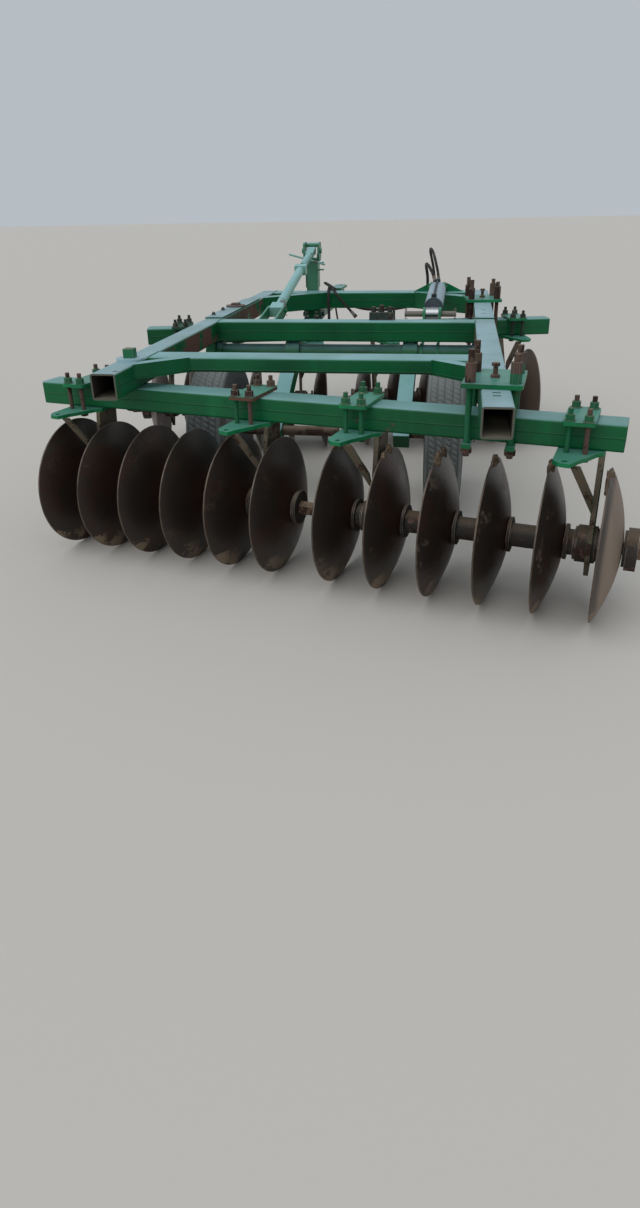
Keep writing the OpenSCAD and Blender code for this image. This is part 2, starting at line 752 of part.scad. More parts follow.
module rockshaft_pipe() {
    end = rail_x + 42;
    color("LightSeaGreen") machine() {
        difference() {
            shaft_x(-end, end, rockshaft_d, rockshaft);
            shaft_x(-end - 1, end + 1, rockshaft_d - 20, rockshaft);
        }
        for (side = [left, right]) difference() {
            translate([side * (rail_x - 50) - 18, 0, 0]) shaft_x(0, 36, rockshaft_d + 36, rockshaft);
            shaft_x(-end - 1, end + 1, rockshaft_d, rockshaft);
        }
    }
}

module wheel_arms() {
    color("SeaGreen") machine() for (x = arm_x) difference() {
        along(x, rockshaft, arm_end) {
            translate([-arm_w / 2, 0, -arm_w / 2]) cube([arm_w, arm_len + 70, arm_w]);
            shaft_x(-arm_w / 2, arm_w / 2, arm_collar_d);
        }
        shaft_x(-2000, 2000, rockshaft_d, rockshaft);
        shaft_x(-2000, 2000, stub_d, arm_end);
    }
}

module stub_axles() {
    color("SlateGray") machine() {
        shaft_x(arm_x[1] - arm_w / 2, wheel_x + 60, stub_d, arm_end);
        shaft_x(-wheel_x - 60, arm_x[0] + arm_w / 2 + inner_bar, stub_d, arm_end);
        for (side = [left, right])
            translate([side * (wheel_x - hub_half - 14) - 12, 0, 0]) shaft_x(0, 24, stub_d + 30, arm_end);
    }
}

// Two bent plates that reach forward under the middle cross tube and up to the cylinder
module cylinder_lever() {
    color("SeaGreen") machine() for (side = [left, right]) {
        x = cyl_x + side * lug_x - lever_t / 2;
        difference() {
            union() {
                hull() {
                    shaft_x(x, x + lever_t, rockshaft_d + 20, rockshaft);
                    shaft_x(x, x + lever_t, elbow_d, lever_elbow);
                }
                hull() {
                    shaft_x(x, x + lever_t, elbow_d, lever_elbow);
                    shaft_x(x, x + lever_t, cyl_pin_d + pin_boss, lever_pin);
                }
            }
            shaft_x(x - 1, x + lever_t + 1, rockshaft_d, rockshaft);
        }
        // The pin's end: its middle rides in the rod's eye, since the linkage is opened here
        stub = side < 0 ? lever_pin_ends[0] : lever_pin_ends[1];
        shaft_x(side < 0 ? x - stub : x + lever_t, side < 0 ? x : x + lever_t + stub,
            cyl_pin_d + 3, lever_pin);
    }
}

// Half of a tyre's section from its bead to the middle of its tread, as radius and distance from
// the middle plane; the other half is its mirror image
module tyre(side) {
    w = tyre_w / 2;
    r = tyre_d / 2;
    bead = rim_d / 2;
    half = [[bead, w * 0.72], [bead + 20, w * 0.73], [bead + 34, w * 0.88], [(bead + r) / 2, w],
        [r - 45, w * 0.95], [r - 14, w * 0.82], [r - 3, w * 0.7], [r - 1, w * 0.46], [r - groove, w * 0.44],
        [r - groove, w * 0.36], [r, w * 0.34], [r, w * 0.08], [r - groove, w * 0.06]];
    section = concat(half, [for (k = [len(half) - 1 : -1 : 0]) [half[k][0], -half[k][1]]]);
    color("DimGray") machine() translate([side * wheel_x, arm_end[0], arm_end[1]])
        rotate([0, 90, 0]) rotate_extrude($fn = 96) polygon(section);
}

// Steel wheel with its hub; the hub's outer end is closed by the cap
module wheel(side) {
    w = tyre_w / 2;
    seat = rim_d / 2 - gap;
    color("Silver") machine() translate([side * wheel_x, arm_end[0], arm_end[1]])
        mirror([side < 0 ? 1 : 0, 0, 0]) rotate([0, 90, 0]) difference() {
            rotate_extrude($fn = 96) polygon([[seat - 8, -w * 0.8], [seat + 16, -w * 0.8],
                [seat + 16, -w * 0.76], [seat, -w * 0.75], [seat, w * 0.75], [seat + 16, w * 0.76],
                [seat + 16, w * 0.8], [seat - 8, w * 0.8], [seat - 8, 12], [hub_r, 24],
                [hub_r, hub_half], [0, hub_half], [0, -hub_half], [hub_r, -hub_half], [hub_r, 4],
                [seat - 8, -8]]);
            translate([0, 0, -hub_half - 1]) cylinder(h = hub_half + 62, r = stub_d / 2 + running);
        }
}

// Lift cylinder

// Two lugs on the front cross tube and the trapezoid plate that stiffens them
module cylinder_bracket() {
    foot = [110, 54];
    rib = [196, 78];
    color("SeaGreen") machine() for (side = [left, right]) {
        x = cyl_x + side * lug_x - lever_t / 2;
        difference() {
            hull() {
                shaft_x(x, x + lever_t, cyl_pin_d + pin_boss, base_pin);
                translate([x, front_cross_y, rail_top]) cube([lever_t, foot[0], foot[1]]);
            }
            shaft_x(x - 1, x + lever_t + 1, cyl_pin_d, base_pin);
        }
    }
    color("SeaGreen") machine() translate([cyl_x, front_cross_y + 66, rail_top]) rotate([90, 0, 0])
        linear_extrude(16) polygon([[-rib[0], 0], [rib[0], 0], [rib[1], 58], [-rib[1], 58]]);
    color("SlateGray") machine() shaft_x(cyl_x - lug_x - 22, cyl_x + lug_x + 22, cyl_pin_d, base_pin);
}

module cylinder_barrel() {
    pipe_z = cyl_d / 2 + 7;
    color("LightSlateGray") machine() along(cyl_x, lever_pin, base_pin) difference() {
        union() {
            shaft_y(gland, cyl_len - cap_len, cyl_d);
            shaft_y(gland - 14, gland, cyl_d - 30);
            shaft_y(cyl_len - cap_len - 1, cyl_len, eye_d - 12);
            shaft_x(-eye_w / 2, eye_w / 2, eye_d, [cyl_len, 0]);
            shaft_y(gland + 34, cyl_len - cap_len - 20, 18, [0, pipe_z]);
            for (y = [gland + 24, cyl_len - cap_len - 40])
                translate([-17, y, 0]) cube([34, 28, pipe_z + 12]);
        }
        shaft_y(gland - 15, cyl_len - cap_len - 60, rod_d + 2 * running);
        shaft_x(-eye_w, eye_w, cyl_pin_d + 2 * running, [cyl_len, 0]);
    }
}

module cylinder_rod() {
    color("Silver") machine() along(cyl_x, lever_pin, base_pin) {
        shaft_y(0, rod_len, rod_d);
        shaft_x(-eye_w / 2, eye_w / 2, eye_d);
    }
}

// Drawbar, tower and levelling link

module drawbar_bracket() {
    color("SeaGreen") machine() for (side = [left, right]) {
        x = drawbar_x + side * (bar_w / 2 + 1 + lug_t / 2) - lug_t / 2;
        difference() {
            hull() {
                shaft_x(x, x + lug_t, 90, drawbar_pin);
                translate([x, rail_front, rail_low + 2]) cube([lug_t, 1, tube - 4]);
            }
            shaft_x(x - 1, x + lug_t + 1, drawbar_pin_d, drawbar_pin);
        }
    }
    color("SlateGray") machine() shaft_x(drawbar_x - 90, drawbar_x + 90, drawbar_pin_d, drawbar_pin);
}

module drawbar() {
    hitch_y = drawbar_pin[0] + drawbar_len;
    z = drawbar_pin[1];
    tongue_t = 20;
    color("SeaGreen") machine() {
        difference() {
            tube_y(drawbar_x, drawbar_pin[0] - 55, hitch_y - 150, [bar_w, bar_w], z + bar_w / 2, 100, 0);
            shaft_x(drawbar_x - bar_w, drawbar_x + bar_w, drawbar_pin_d + 2 * running, drawbar_pin);
        }
        for (dz = [-bar_w / 2 - tongue_t, bar_w / 2]) translate([drawbar_x, 0, z + dz]) difference() {
            hull() {
                translate([-45, hitch_y - 320, 0]) cube([90, 10, tongue_t]);
                translate([0, hitch_y, 0]) cylinder(h = tongue_t, r = hitch_nose);
            }
            translate([0, hitch_y, -1]) cylinder(h = tongue_t + 2, r = hitch_r);
        }
    }
}

// Post, two cheeks on its sides, two ears above them with a cross piece, lock pins on the right
module hitch_tower() {
    base = drawbar_pin[1] + bar_w / 2;
    y = drawbar_pin[0] - 55;
    cheek_t = 6;
    ear_t = 15;
    ear_z = 1165;
    color("SeaGreen") machine() translate([drawbar_x, 0, 0]) {
        translate([-tower_w / 2, y, base]) cube([tower_w, 90, 1186 - base]);
        for (side = [left, right]) {
            translate([side * (tower_w + cheek_t) / 2 - cheek_t / 2, y - 8, cheek_z[0]])
                cube([cheek_t, 106, cheek_z[1] - cheek_z[0]]);
            mid = side * (tower_w / 2 + cheek_t + ear_t / 2);
            plate_x(mid - ear_t / 2, mid + ear_t / 2, [[y + 4, ear_z], [y - 14, ear_z + 50],
                [y - 14, tower_top - 12], [y - 2, tower_top], [y + 80, tower_top], [y + 94, tower_top - 14],
                [y + 94, ear_z + 40], [y + 70, ear_z]]);
        }
        shaft_x(-tower_w / 2 - 8, tower_w / 2 + 8, 36, [y + 70, 1284]);
        for (z = [1096, 1150])
            shaft_x(tower_w / 2 + cheek_t, tower_w / 2 + cheek_t + 46, 12, [y + 30, z]);
    }
    // The pin's heads: its middle rides in the link's eye, since the linkage is opened here
    color("SlateGray") machine() for (side = [left, right])
        translate([drawbar_x + side * (tower_w / 2 + cheek_t + ear_t + 7) - 7, 0, 0])
            shaft_x(0, 14, 42, link_top);
}

module link_bracket() {
    color("SeaGreen") machine() for (side = [left, right]) {
        x = drawbar_x + side * 52 - 6;
        difference() {
            hull() {
                shaft_x(x, x + 12, 64, link_low);
                translate([x, mid_cross_y + tube, rail_low + 30]) cube([12, 1, tube - 40]);
            }
            shaft_x(x - 1, x + 13, link_pin_d, link_low);
        }
    }
    color("SlateGray") machine() shaft_x(drawbar_x - 68, drawbar_x + 68, link_pin_d, link_low);
}

// Lower half of the levelling link: boxed eye, tube, and the block that its screw runs in
module link_tube() {
    box_w = 88;
    block_len = 64;
    color("MediumAquamarine") machine() along(drawbar_x, link_low, link_top) difference() {
        union() {
            translate([-box_w / 2, -30, -32]) cube([box_w, 112, 64]);
            shaft_y(80, block_at, link_d);
            translate([-43, block_at, -34]) cube([86, block_len, 68]);
        }
        shaft_x(-box_w, box_w, link_pin_d + 2 * running);
        shaft_y(120, block_at + block_len + 1, 32 + 2 * running);
    }
}

// Upper half: screw, sleeve, flattened eye, and the tommy bar that turns it
module link_screw() {
    sleeve = [block_at + 120, link_len - 130];
    tommy = [-146, 150];
    color("MediumAquamarine") machine() along(drawbar_x, link_low, link_top) {
        shaft_y(block_at - 280, sleeve[0] + 20, 32);
        shaft_y(sleeve[0], sleeve[1], 54);
        translate([-30, sleeve[1] - 10, -22]) cube([60, 140, 44]);
        shaft_x(-30, 30, 58, [link_len, 0]);
        translate([0, tommy_at, 0]) rotate([0, 16, 0]) shaft_x(tommy[0], tommy[1], 14);
    }
}

// Hydraulics: a valve block on the middle cross tube, a hook for the hoses, and the hoses

module valve_block() {
    size = [150, 46, 44];
    knob = [30, 42];
    y = mid_cross_y + tube - size[1] - 2;
    color("DarkSlateGray") machine() translate([valve_x, y, rail_top]) {
        translate([-size[0] / 2, 0, 0]) cube(size);
        for (x = [-50, 0, 50])
            translate([x, size[1] / 2, size[2]]) cylinder(h = knob[1] - abs(x) / 5, d = knob[0]);
        translate([size[0] / 2, size[1] / 2, 0]) cylinder(h = 70, d = 16);
    }
}

// A bent rod on the front cross tube's front face that the hoses lie on
module hose_hook() {
    rod = 14;
    x = -322;
    z = 866;
    reach = 150;
    color("Sienna") machine() {
        shaft_y(rail_front, rail_front + reach, rod, [x, z]);
        translate([x, rail_front + reach - rod / 2, z]) cylinder(h = 62, d = rod);
        translate([x, rail_front + 26, z]) rotate([0, 171, 0]) cylinder(h = 158, d = rod);
    }
}

// Angled fittings saddled on the round of the cylinder's base eye, and the couplers on the hoses' far ends
module hose_ends() {
    color("Silver") machine() for (k = [0, 1]) {
        route = k == 0 ? LIFT_ROUTE : RETURN_ROUTE;
        elbow = route[0] - ferrule * heading(route, 0);
        difference() {
            translate([elbow[0], elbow[1], fitting_z]) cylinder(h = 24, d = 28, $fn = 6);
            shaft_x(elbow[0] - 30, elbow[0] + 30, eye_d + 2 * gap, base_pin);
        }
        translate(elbow) sphere(d = hose_d[k] + 3);
        facing(elbow, heading(route, 0)) cylinder(h = ferrule, d = hose_d[k] + 3);
        last = len(route) - 1;
        facing(route[last], heading(route, last)) {
            cylinder(h = ferrule, d = hose_d[k] + 5);
            translate([0, 0, ferrule]) cylinder(h = 26, d = hose_d[k] + 12, $fn = 6);
        }
    }
}

// A hose swept along its route: a ring of corners square to the route at each point
function unit(v) = v / norm(v);
function heading(route, k) = unit(k == 0 ? route[1] - route[0]
    : k == len(route) - 1 ? route[k] - route[k - 1] : route[k + 1] - route[k - 1]);
// A side direction carried from ring to ring, so that the tube doesn't twist
function sides(route, k) = k == 0 ? unit(cross(heading(route, 0), [1, 0, 0]))
    : let (h = heading(route, k), s = sides(route, k - 1)) unit(s - h * (s * h));
function ring(route, k, r) = let (h = heading(route, k), s = sides(route, k), t = cross(h, s))
    [for (i = [0 : hose_sides - 1], a = 360 * i / hose_sides) route[k] + r * (s * cos(a) + t * sin(a))];

module hose(route, d) {
    n = hose_sides;
    rings = len(route);
    points = [for (k = [0 : rings - 1], p = ring(route, k, d / 2)) p];
    walls = [for (k = [0 : rings - 2], i = [0 : n - 1])
        [k * n + i, k * n + (i + 1) % n, (k + 1) * n + (i + 1) % n, (k + 1) * n + i]];
    ends = [[for (i = [n - 1 : -1 : 0]) i], [for (i = [0 : n - 1]) (rings - 1) * n + i]];
    color("DimGray") machine() polyhedron(points, concat(walls, ends));
}
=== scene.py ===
# %% [markdown]
# This lesson dresses a trailed disc harrow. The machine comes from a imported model, which is a fixed frame:
# every tube, disc and pin is already there at its real size. The script adds the hoses, the tyres' tread,
# the weld beads and the small fasteners, and it gives every surface its finish.

# %% Load the frame
import json
import math
import random

import bmesh
import bpy
from mathutils import Matrix, Vector, noise


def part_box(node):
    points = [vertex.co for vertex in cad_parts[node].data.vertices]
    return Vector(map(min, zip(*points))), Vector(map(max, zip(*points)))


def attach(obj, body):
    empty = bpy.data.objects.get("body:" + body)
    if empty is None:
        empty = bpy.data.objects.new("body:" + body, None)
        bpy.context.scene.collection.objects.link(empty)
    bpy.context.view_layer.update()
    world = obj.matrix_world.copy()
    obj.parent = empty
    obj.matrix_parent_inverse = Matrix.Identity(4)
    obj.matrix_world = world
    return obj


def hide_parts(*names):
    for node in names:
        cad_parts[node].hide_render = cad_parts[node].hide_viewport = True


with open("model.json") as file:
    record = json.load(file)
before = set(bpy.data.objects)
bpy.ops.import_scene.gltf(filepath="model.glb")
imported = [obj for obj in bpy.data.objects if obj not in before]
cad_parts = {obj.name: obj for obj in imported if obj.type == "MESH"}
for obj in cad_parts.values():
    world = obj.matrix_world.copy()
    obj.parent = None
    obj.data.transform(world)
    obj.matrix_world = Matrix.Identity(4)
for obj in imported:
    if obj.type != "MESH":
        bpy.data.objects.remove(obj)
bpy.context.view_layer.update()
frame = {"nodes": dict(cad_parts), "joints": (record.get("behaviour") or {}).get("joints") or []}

# %% [markdown]
# The source works in the machine's own frame: x is 0 midway between the rails, y is 0 at the left rail's
# open rear end and z is 0 on the ground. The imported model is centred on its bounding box. The side rails'
# box gives the step from one to the other, so every place below can be written as it is in the machine's
# own frame.

# %% The machine's own frame
RIGHT_TAIL = 0.476  # how much further back the right rail runs
rail_low_corner, rail_high_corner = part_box("side_rails")
SHIFT = Vector(((rail_low_corner[0] + rail_high_corner[0]) / 2, rail_low_corner[1] + RIGHT_TAIL, 0))


def at(x, y, z):
    return Vector((x, y, z)) + SHIFT


print("shift", [round(v, 4) for v in SHIFT])

# %% [markdown]
# The photograph was taken from behind at standing height, with the lens tipped down and slightly turned.
# The camera's place and turn were fitted to the rails' ends, the tubes' crossings and the discs' centres,
# because a camera set by eye leaves errors that look like faults of the model.

# %% Camera
PHOTO_HEIGHT = 1208
FOCAL_PIXELS = 786.64
MIDDLE_ROW = 570
SENSOR_HEIGHT = 24
EYE = at(0.6984, -3.3357, 1.6326)
YAW, PITCH, ROLL = (math.radians(a) for a in (9.9968, 25.3221, -1.3036))

ahead = Vector((-math.sin(YAW) * math.cos(PITCH), math.cos(YAW) * math.cos(PITCH), -math.sin(PITCH)))
level = Vector((math.cos(YAW), math.sin(YAW), 0))
upright = level.cross(ahead)
right = level * math.cos(ROLL) + upright * math.sin(ROLL)
up = upright * math.cos(ROLL) - level * math.sin(ROLL)

lens = bpy.data.cameras.new("photo_camera")
lens.sensor_fit = "VERTICAL"
lens.sensor_height = SENSOR_HEIGHT
lens.lens = FOCAL_PIXELS / PHOTO_HEIGHT * SENSOR_HEIGHT
lens.shift_y = (MIDDLE_ROW - PHOTO_HEIGHT / 2) / PHOTO_HEIGHT
camera = bpy.data.objects.new("photo_camera", lens)
camera.matrix_world = Matrix((
    (right.x, up.x, -ahead.x, EYE.x),
    (right.y, up.y, -ahead.y, EYE.y),
    (right.z, up.z, -ahead.z, EYE.z),
    (0, 0, 0, 1)))
bpy.context.scene.collection.objects.link(camera)
bpy.context.scene.camera = camera
print("lens", round(lens.lens, 2), "mm")

# %% [markdown]
# A piece of this scene is a mesh built from points and faces. It could be put together from Blender's
# ready-made solids, but a list of points says exactly where each one lies. One helper makes the object,
# smooths it, lets it ride on a body of the machine, so that it moves with that body in every pose, and
# gives it its finish.

# %% A helper that makes a piece
def piece(name, points, faces, body, slot, finish=None, smooth=True):
    mesh = bpy.data.meshes.new(name)
    mesh.from_pydata([tuple(p) for p in points], [], faces)
    mesh.update()
    made = bpy.data.objects.new(name, mesh)
    bpy.context.scene.collection.objects.link(made)
    for face in mesh.polygons:
        face.use_smooth = smooth
    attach(made, body)
    if finish:
        mesh.materials.append(finish.material)
    return made


# %% [markdown]
# A hose is one smooth curve. A curve object with a round bevel would do, but a mesh goes into the export as
# it is. A Catmull-Rom curve passes through each point of the route without corners, and the tube is then
# swept along it: a ring of points square to the route at each step, turned as little as possible from ring
# to ring.

# %% Curves and sweeps
def smooth_route(points, step):
    ends = [points[0] * 2 - points[1]] + points + [points[-1] * 2 - points[-2]]
    route = []
    for before, a, b, after in zip(ends, ends[1:], ends[2:], ends[3:]):
        count = max(1, round((b - a).length / step))
        for k in range(count):
            t = k / count
            bend = (2 * before - 5 * a + 4 * b - after) * t * t
            twist = (3 * a - before - 3 * b + after) * t ** 3
            route.append(0.5 * (2 * a + (b - before) * t + bend + twist))
    return route + [points[-1]]


def rings_along(route, radius, sides):
    """Rings of points round a route; radius is a number or a function of the share of the way."""
    rings = []
    across = None
    for k, place in enumerate(route):
        heading = (route[min(k + 1, len(route) - 1)] - route[max(k - 1, 0)]).normalized()
        if across is None:
            across = heading.orthogonal().normalized()
        across = (across - heading * across.dot(heading)).normalized()
        other = heading.cross(across)
        reach = radius(k / (len(route) - 1)) if callable(radius) else radius
        turns = [2 * math.pi * i / sides for i in range(sides)]
        rings.append([place + (across * math.cos(a) + other * math.sin(a)) * reach for a in turns])
    return rings


def skin(rings):
    """Points and faces of a tube through rings of the same number of points, closed at both ends."""
    sides = len(rings[0])
    points = [p for ring in rings for p in ring]
    faces = []
    for low in range(0, len(points) - sides, sides):
        high = low + sides
        faces += [(low + i, low + (i + 1) % sides, high + (i + 1) % sides, high + i) for i in range(sides)]
    faces.append(tuple(range(sides - 1, -1, -1)))
    faces.append(tuple(range(len(points) - sides, len(points))))
    return points, faces


def length_of(route):
    return sum((b - a).length for a, b in zip(route, route[1:]))


# %% [markdown]
# Two hydraulic hoses leave the angled fittings on the cylinder's base eye. The lift hose arches high over
# the front cross tube, drops in front of it, runs along behind the drawbar's hinge and comes back over the
# tube in a small arch. The return hose takes a lower loop beside it. Both end in couplers that hang behind
# the tube. The points are those of the source, placed where the photograph shows the hoses.

# %% The two hoses
LIFT_ROUTE = [
    (.530, 3.131, 1.075), (.525, 3.132, 1.105), (.514, 3.138, 1.145), (.500, 3.158, 1.192),
    (.484, 3.206, 1.232), (.468, 3.272, 1.254), (.456, 3.346, 1.252), (.455, 3.414, 1.222),
    (.466, 3.464, 1.168), (.480, 3.490, 1.100), (.490, 3.500, 1.026), (.484, 3.496, .954),
    (.456, 3.488, .898), (.404, 3.478, .860), (.330, 3.470, .838), (.240, 3.468, .828),
    (.150, 3.468, .824), (.060, 3.468, .826), (-.030, 3.468, .832), (-.118, 3.468, .848),
    (-.200, 3.470, .876), (-.272, 3.474, .914), (-.328, 3.470, .952), (-.368, 3.448, .982),
    (-.388, 3.412, .998), (-.388, 3.370, 1.003), (-.372, 3.330, 1.001), (-.346, 3.294, .992),
    (-.316, 3.262, .974), (-.286, 3.234, .948), (-.254, 3.214, .914), (-.220, 3.204, .876),
    (-.184, 3.200, .838), (-.152, 3.199, .804)]
RETURN_ROUTE = [
    (.494, 3.146, 1.070), (.485, 3.158, 1.092), (.470, 3.180, 1.115), (.456, 3.210, 1.134),
    (.443, 3.252, 1.144), (.433, 3.298, 1.147), (.427, 3.342, 1.140), (.426, 3.384, 1.122),
    (.429, 3.422, 1.094), (.434, 3.456, 1.056), (.437, 3.484, 1.010), (.434, 3.508, .960),
    (.420, 3.526, .910), (.390, 3.538, .864), (.344, 3.544, .828), (.282, 3.546, .802),
    (.206, 3.546, .786), (.112, 3.544, .776), (.012, 3.542, .774), (-.086, 3.541, .782),
    (-.172, 3.540, .802), (-.246, 3.534, .834), (-.302, 3.516, .872), (-.338, 3.484, .912),
    (-.354, 3.442, .944), (-.355, 3.396, .962), (-.350, 3.346, .968), (-.345, 3.298, .966),
    (-.340, 3.252, .958), (-.336, 3.217, .928), (-.334, 3.202, .888), (-.333, 3.197, .842),
    (-.332, 3.197, .784), (-.332, 3.198, .720)]
HOSES = [("lift_hose", LIFT_ROUTE, 0.020), ("return_hose", RETURN_ROUTE, 0.023)]
HOSE_STEP, HOSE_SIDES = 0.012, 16

hose_tubes = []
for name, points, diameter in HOSES:
    route = smooth_route([at(*p) for p in points], HOSE_STEP)
    rings = rings_along(route, diameter / 2, HOSE_SIDES)
    tube = piece(name + "_rubber", *skin(rings), "frame", "hose_rubber")
    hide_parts(name)
    hose_tubes.append(tube)
    print(name, round(length_of(route), 3), "m")

# %% [markdown]
# Colours are written as they look on a screen, from 0 to 255. Blender's shaders work with light, not with
# screen values, so each colour is turned into its linear value first.

# %% Colours
def shade(r, g, b):
    """A shader's colour for an on-screen one."""
    linear = []
    for value in (r / 255, g / 255, b / 255):
        linear.append(value / 12.92 if value <= 0.04045 else ((value + 0.055) / 1.055) ** 2.4)
    return (*linear, 1)


def tinted(colour, share):
    """A colour made lighter or darker."""
    return tuple(min(1.0, c * share) for c in colour[:3]) + (1,)


EMERALD = shade(6, 96, 54)
LEAF_GREEN = shade(14, 118, 72)
MINT = shade(132, 182, 166)
TOWER_GREEN = shade(80, 138, 110)
SHADED_GREEN = shade(30, 74, 58)
# The next three pale blue-greens are dust on top faces with a painted sheen of the sky's reflection in them.
TEAL_DUST_AND_SHEEN = shade(146, 192, 196)
SKY_SHEEN_AND_DUST = shade(156, 186, 194)
BEAM_DUST_AND_SHEEN = shade(136, 180, 182)
FIELD_DUST = shade(150, 132, 110)
STUD_BROWN = shade(104, 82, 70)
BARE_RUST = shade(96, 68, 56)
DARK_RUST = shade(58, 38, 30)
PINK_RUST = shade(128, 98, 88)
TUBE_INSIDE = shade(52, 46, 40)
TUBE_FLOOR = shade(118, 112, 96)
CUT_STEEL = shade(92, 90, 80)
WORN_STEEL = shade(150, 142, 132)
LEVER_STEEL = shade(122, 116, 106)
SHADED_STUD = shade(44, 56, 48)
DISC_BROWN = shade(58, 50, 44)
DISC_RED = shade(70, 42, 32)
HUB_RED = shade(78, 48, 38)
RING_BROWN = shade(72, 58, 50)
CAKED_SOIL = shade(104, 88, 74)
PALE_DISC = shade(150, 132, 116)
RIM_STEEL = shade(116, 102, 90)
RUBBER = shade(74, 75, 74)
RUBBER_GREY = shade(104, 101, 95)
RUBBER_DUST = shade(126, 118, 106)
TREAD_DUST = shade(126, 131, 129)
HOSE_BLACK = shade(38, 34, 32)
HOSE_GREY = shade(86, 82, 78)
CYLINDER_GREY = shade(150, 168, 180)
PIPE_BLACK = shade(40, 46, 50)
GLAND_BLACK = shade(44, 50, 54)
WHEEL_GREY = shade(150, 146, 136)
print("emerald in the shader", [round(v, 4) for v in EMERALD[:3]])

# %% [markdown]
# A finish is a small graph of nodes: noise, masks and sums. Written out node by node it would be long and
# hard to read, so a few helpers make one node each and hand back its output.

# %% Node helpers
FLOAT, VECTOR = "NodeSocketFloat", "NodeSocketVector"


def node_group(name, inputs, outputs):
    group = bpy.data.node_groups.new(name, "ShaderNodeTree")
    for label, kind, value in inputs:
        socket = group.interface.new_socket(label, in_out="INPUT", socket_type=kind)
        socket.default_value = value
    for label, kind in outputs:
        group.interface.new_socket(label, in_out="OUTPUT", socket_type=kind)
    return group, group.nodes.new("NodeGroupInput"), group.nodes.new("NodeGroupOutput")


def feed(tree, socket, value):
    """Gives an input a fixed value or the output of another node."""
    if isinstance(value, bpy.types.NodeSocket):
        tree.links.new(value, socket)
    else:
        socket.default_value = value


def math_node(tree, operation, a, b=0.0, clamp=False):
    made = tree.nodes.new("ShaderNodeMath")
    made.operation = operation
    made.use_clamp = clamp
    feed(tree, made.inputs[0], a)
    feed(tree, made.inputs[1], b)
    return made.outputs[0]


def times(tree, a, b, clamp=False):
    return math_node(tree, "MULTIPLY", a, b, clamp)


def vector_node(tree, operation, a, b=None):
    """A vector calculation, whose result is its output Vector or its output Value."""
    made = tree.nodes.new("ShaderNodeVectorMath")
    made.operation = operation
    tree.links.new(a, made.inputs[0])
    if b is not None:
        tree.links.new(b, made.inputs[1])
    return made.outputs


def place_of(tree, kind="Object"):
    """Where a point lies in its piece's own frame, or, with kind Normal, which way it faces there."""
    return tree.nodes.new("ShaderNodeTexCoord").outputs[kind]


def axes_of(tree, vector):
    parts = tree.nodes.new("ShaderNodeSeparateXYZ")
    tree.links.new(vector, parts.inputs[0])
    return parts.outputs


def ramp(tree, value, low, high):
    """0 below low, 1 above high and smooth between them."""
    made = tree.nodes.new("ShaderNodeMapRange")
    made.interpolation_type = "SMOOTHSTEP"
    tree.links.new(value, made.inputs["Value"])
    feed(tree, made.inputs["From Min"], low)
    feed(tree, made.inputs["From Max"], high)
    return made.outputs["Result"]


def noise_of(tree, scale, detail=4.0, stretch=None):
    """Noise fixed to the piece, with a cell size of about 1 / scale metres."""
    place = place_of(tree)
    if stretch:
        mapping = tree.nodes.new("ShaderNodeMapping")
        mapping.inputs["Scale"].default_value = stretch
        tree.links.new(place, mapping.inputs["Vector"])
        place = mapping.outputs["Vector"]
    made = tree.nodes.new("ShaderNodeTexNoise")
    made.inputs["Detail"].default_value = detail
    tree.links.new(place, made.inputs["Vector"])
    feed(tree, made.inputs["Scale"], scale)
    return made.outputs["Fac"]


# %% [markdown]
# Old paint wears first along its edges. The group below finds them: a Bevel node rounds the normal near an
# edge, and where it departs from the true normal there is an edge. Noise breaks the line up, because wear
# is never even. The group puts out a mask, and each material decides what lies under the paint.

# %% Edge wear group
def edge_wear_group():
    group, into, out = node_group("edge wear", [("Width", FLOAT, 0.006), ("Reach", FLOAT, 0.5)],
                                  [("Mask", FLOAT)])
    bevel = group.nodes.new("ShaderNodeBevel")
    bevel.samples = 4
    group.links.new(into.outputs["Width"], bevel.inputs["Radius"])
    true_normal = group.nodes.new("ShaderNodeNewGeometry").outputs["Normal"]
    agreement = vector_node(group, "DOT_PRODUCT", bevel.outputs[0], true_normal)["Value"]
    edge = ramp(group, math_node(group, "SUBTRACT", 1.0, agreement), 0.01, 0.14)
    patches = math_node(group, "ADD", noise_of(group, 14.0, detail=6.0), into.outputs["Reach"])
    worn = times(group, edge, ramp(group, patches, 0.95, 1.15), clamp=True)
    group.links.new(worn, out.inputs["Mask"])
    return group


EDGE_WEAR = edge_wear_group()
print("edge wear", len(EDGE_WEAR.nodes), "nodes")

# %% [markdown]
# Rust and dirt come as patches of several sizes. One noise alone gives soft clouds that look like mist. The
# patch group adds a wide noise to a fine one and cuts the sum at a level, so that a patch has a ragged rim
# with small specks round it.

# %% Patch group
WIDE_SHARE, FINE_SHARE, FINE_STEP = 0.72, 0.28, 9.0
EMPTY_LEVEL, COVER_STEP, RIM_WIDTH = 0.78, 0.55, 0.06


def patch_group():
    group, into, out = node_group("patches", [("Scale", FLOAT, 3.0), ("Cover", FLOAT, 0.4)],
                                  [("Mask", FLOAT), ("Height", FLOAT)])
    wide = noise_of(group, into.outputs["Scale"], detail=5.0)
    fine = noise_of(group, times(group, into.outputs["Scale"], FINE_STEP), detail=6.0)
    both = math_node(group, "ADD", times(group, wide, WIDE_SHARE), times(group, fine, FINE_SHARE))
    low = math_node(group, "SUBTRACT", EMPTY_LEVEL, times(group, into.outputs["Cover"], COVER_STEP))
    mask = ramp(group, both, low, math_node(group, "ADD", low, RIM_WIDTH))
    group.links.new(mask, out.inputs["Mask"])
    group.links.new(fine, out.inputs["Height"])
    return group


PATCHES = patch_group()
print("patches", len(PATCHES.nodes), "nodes")
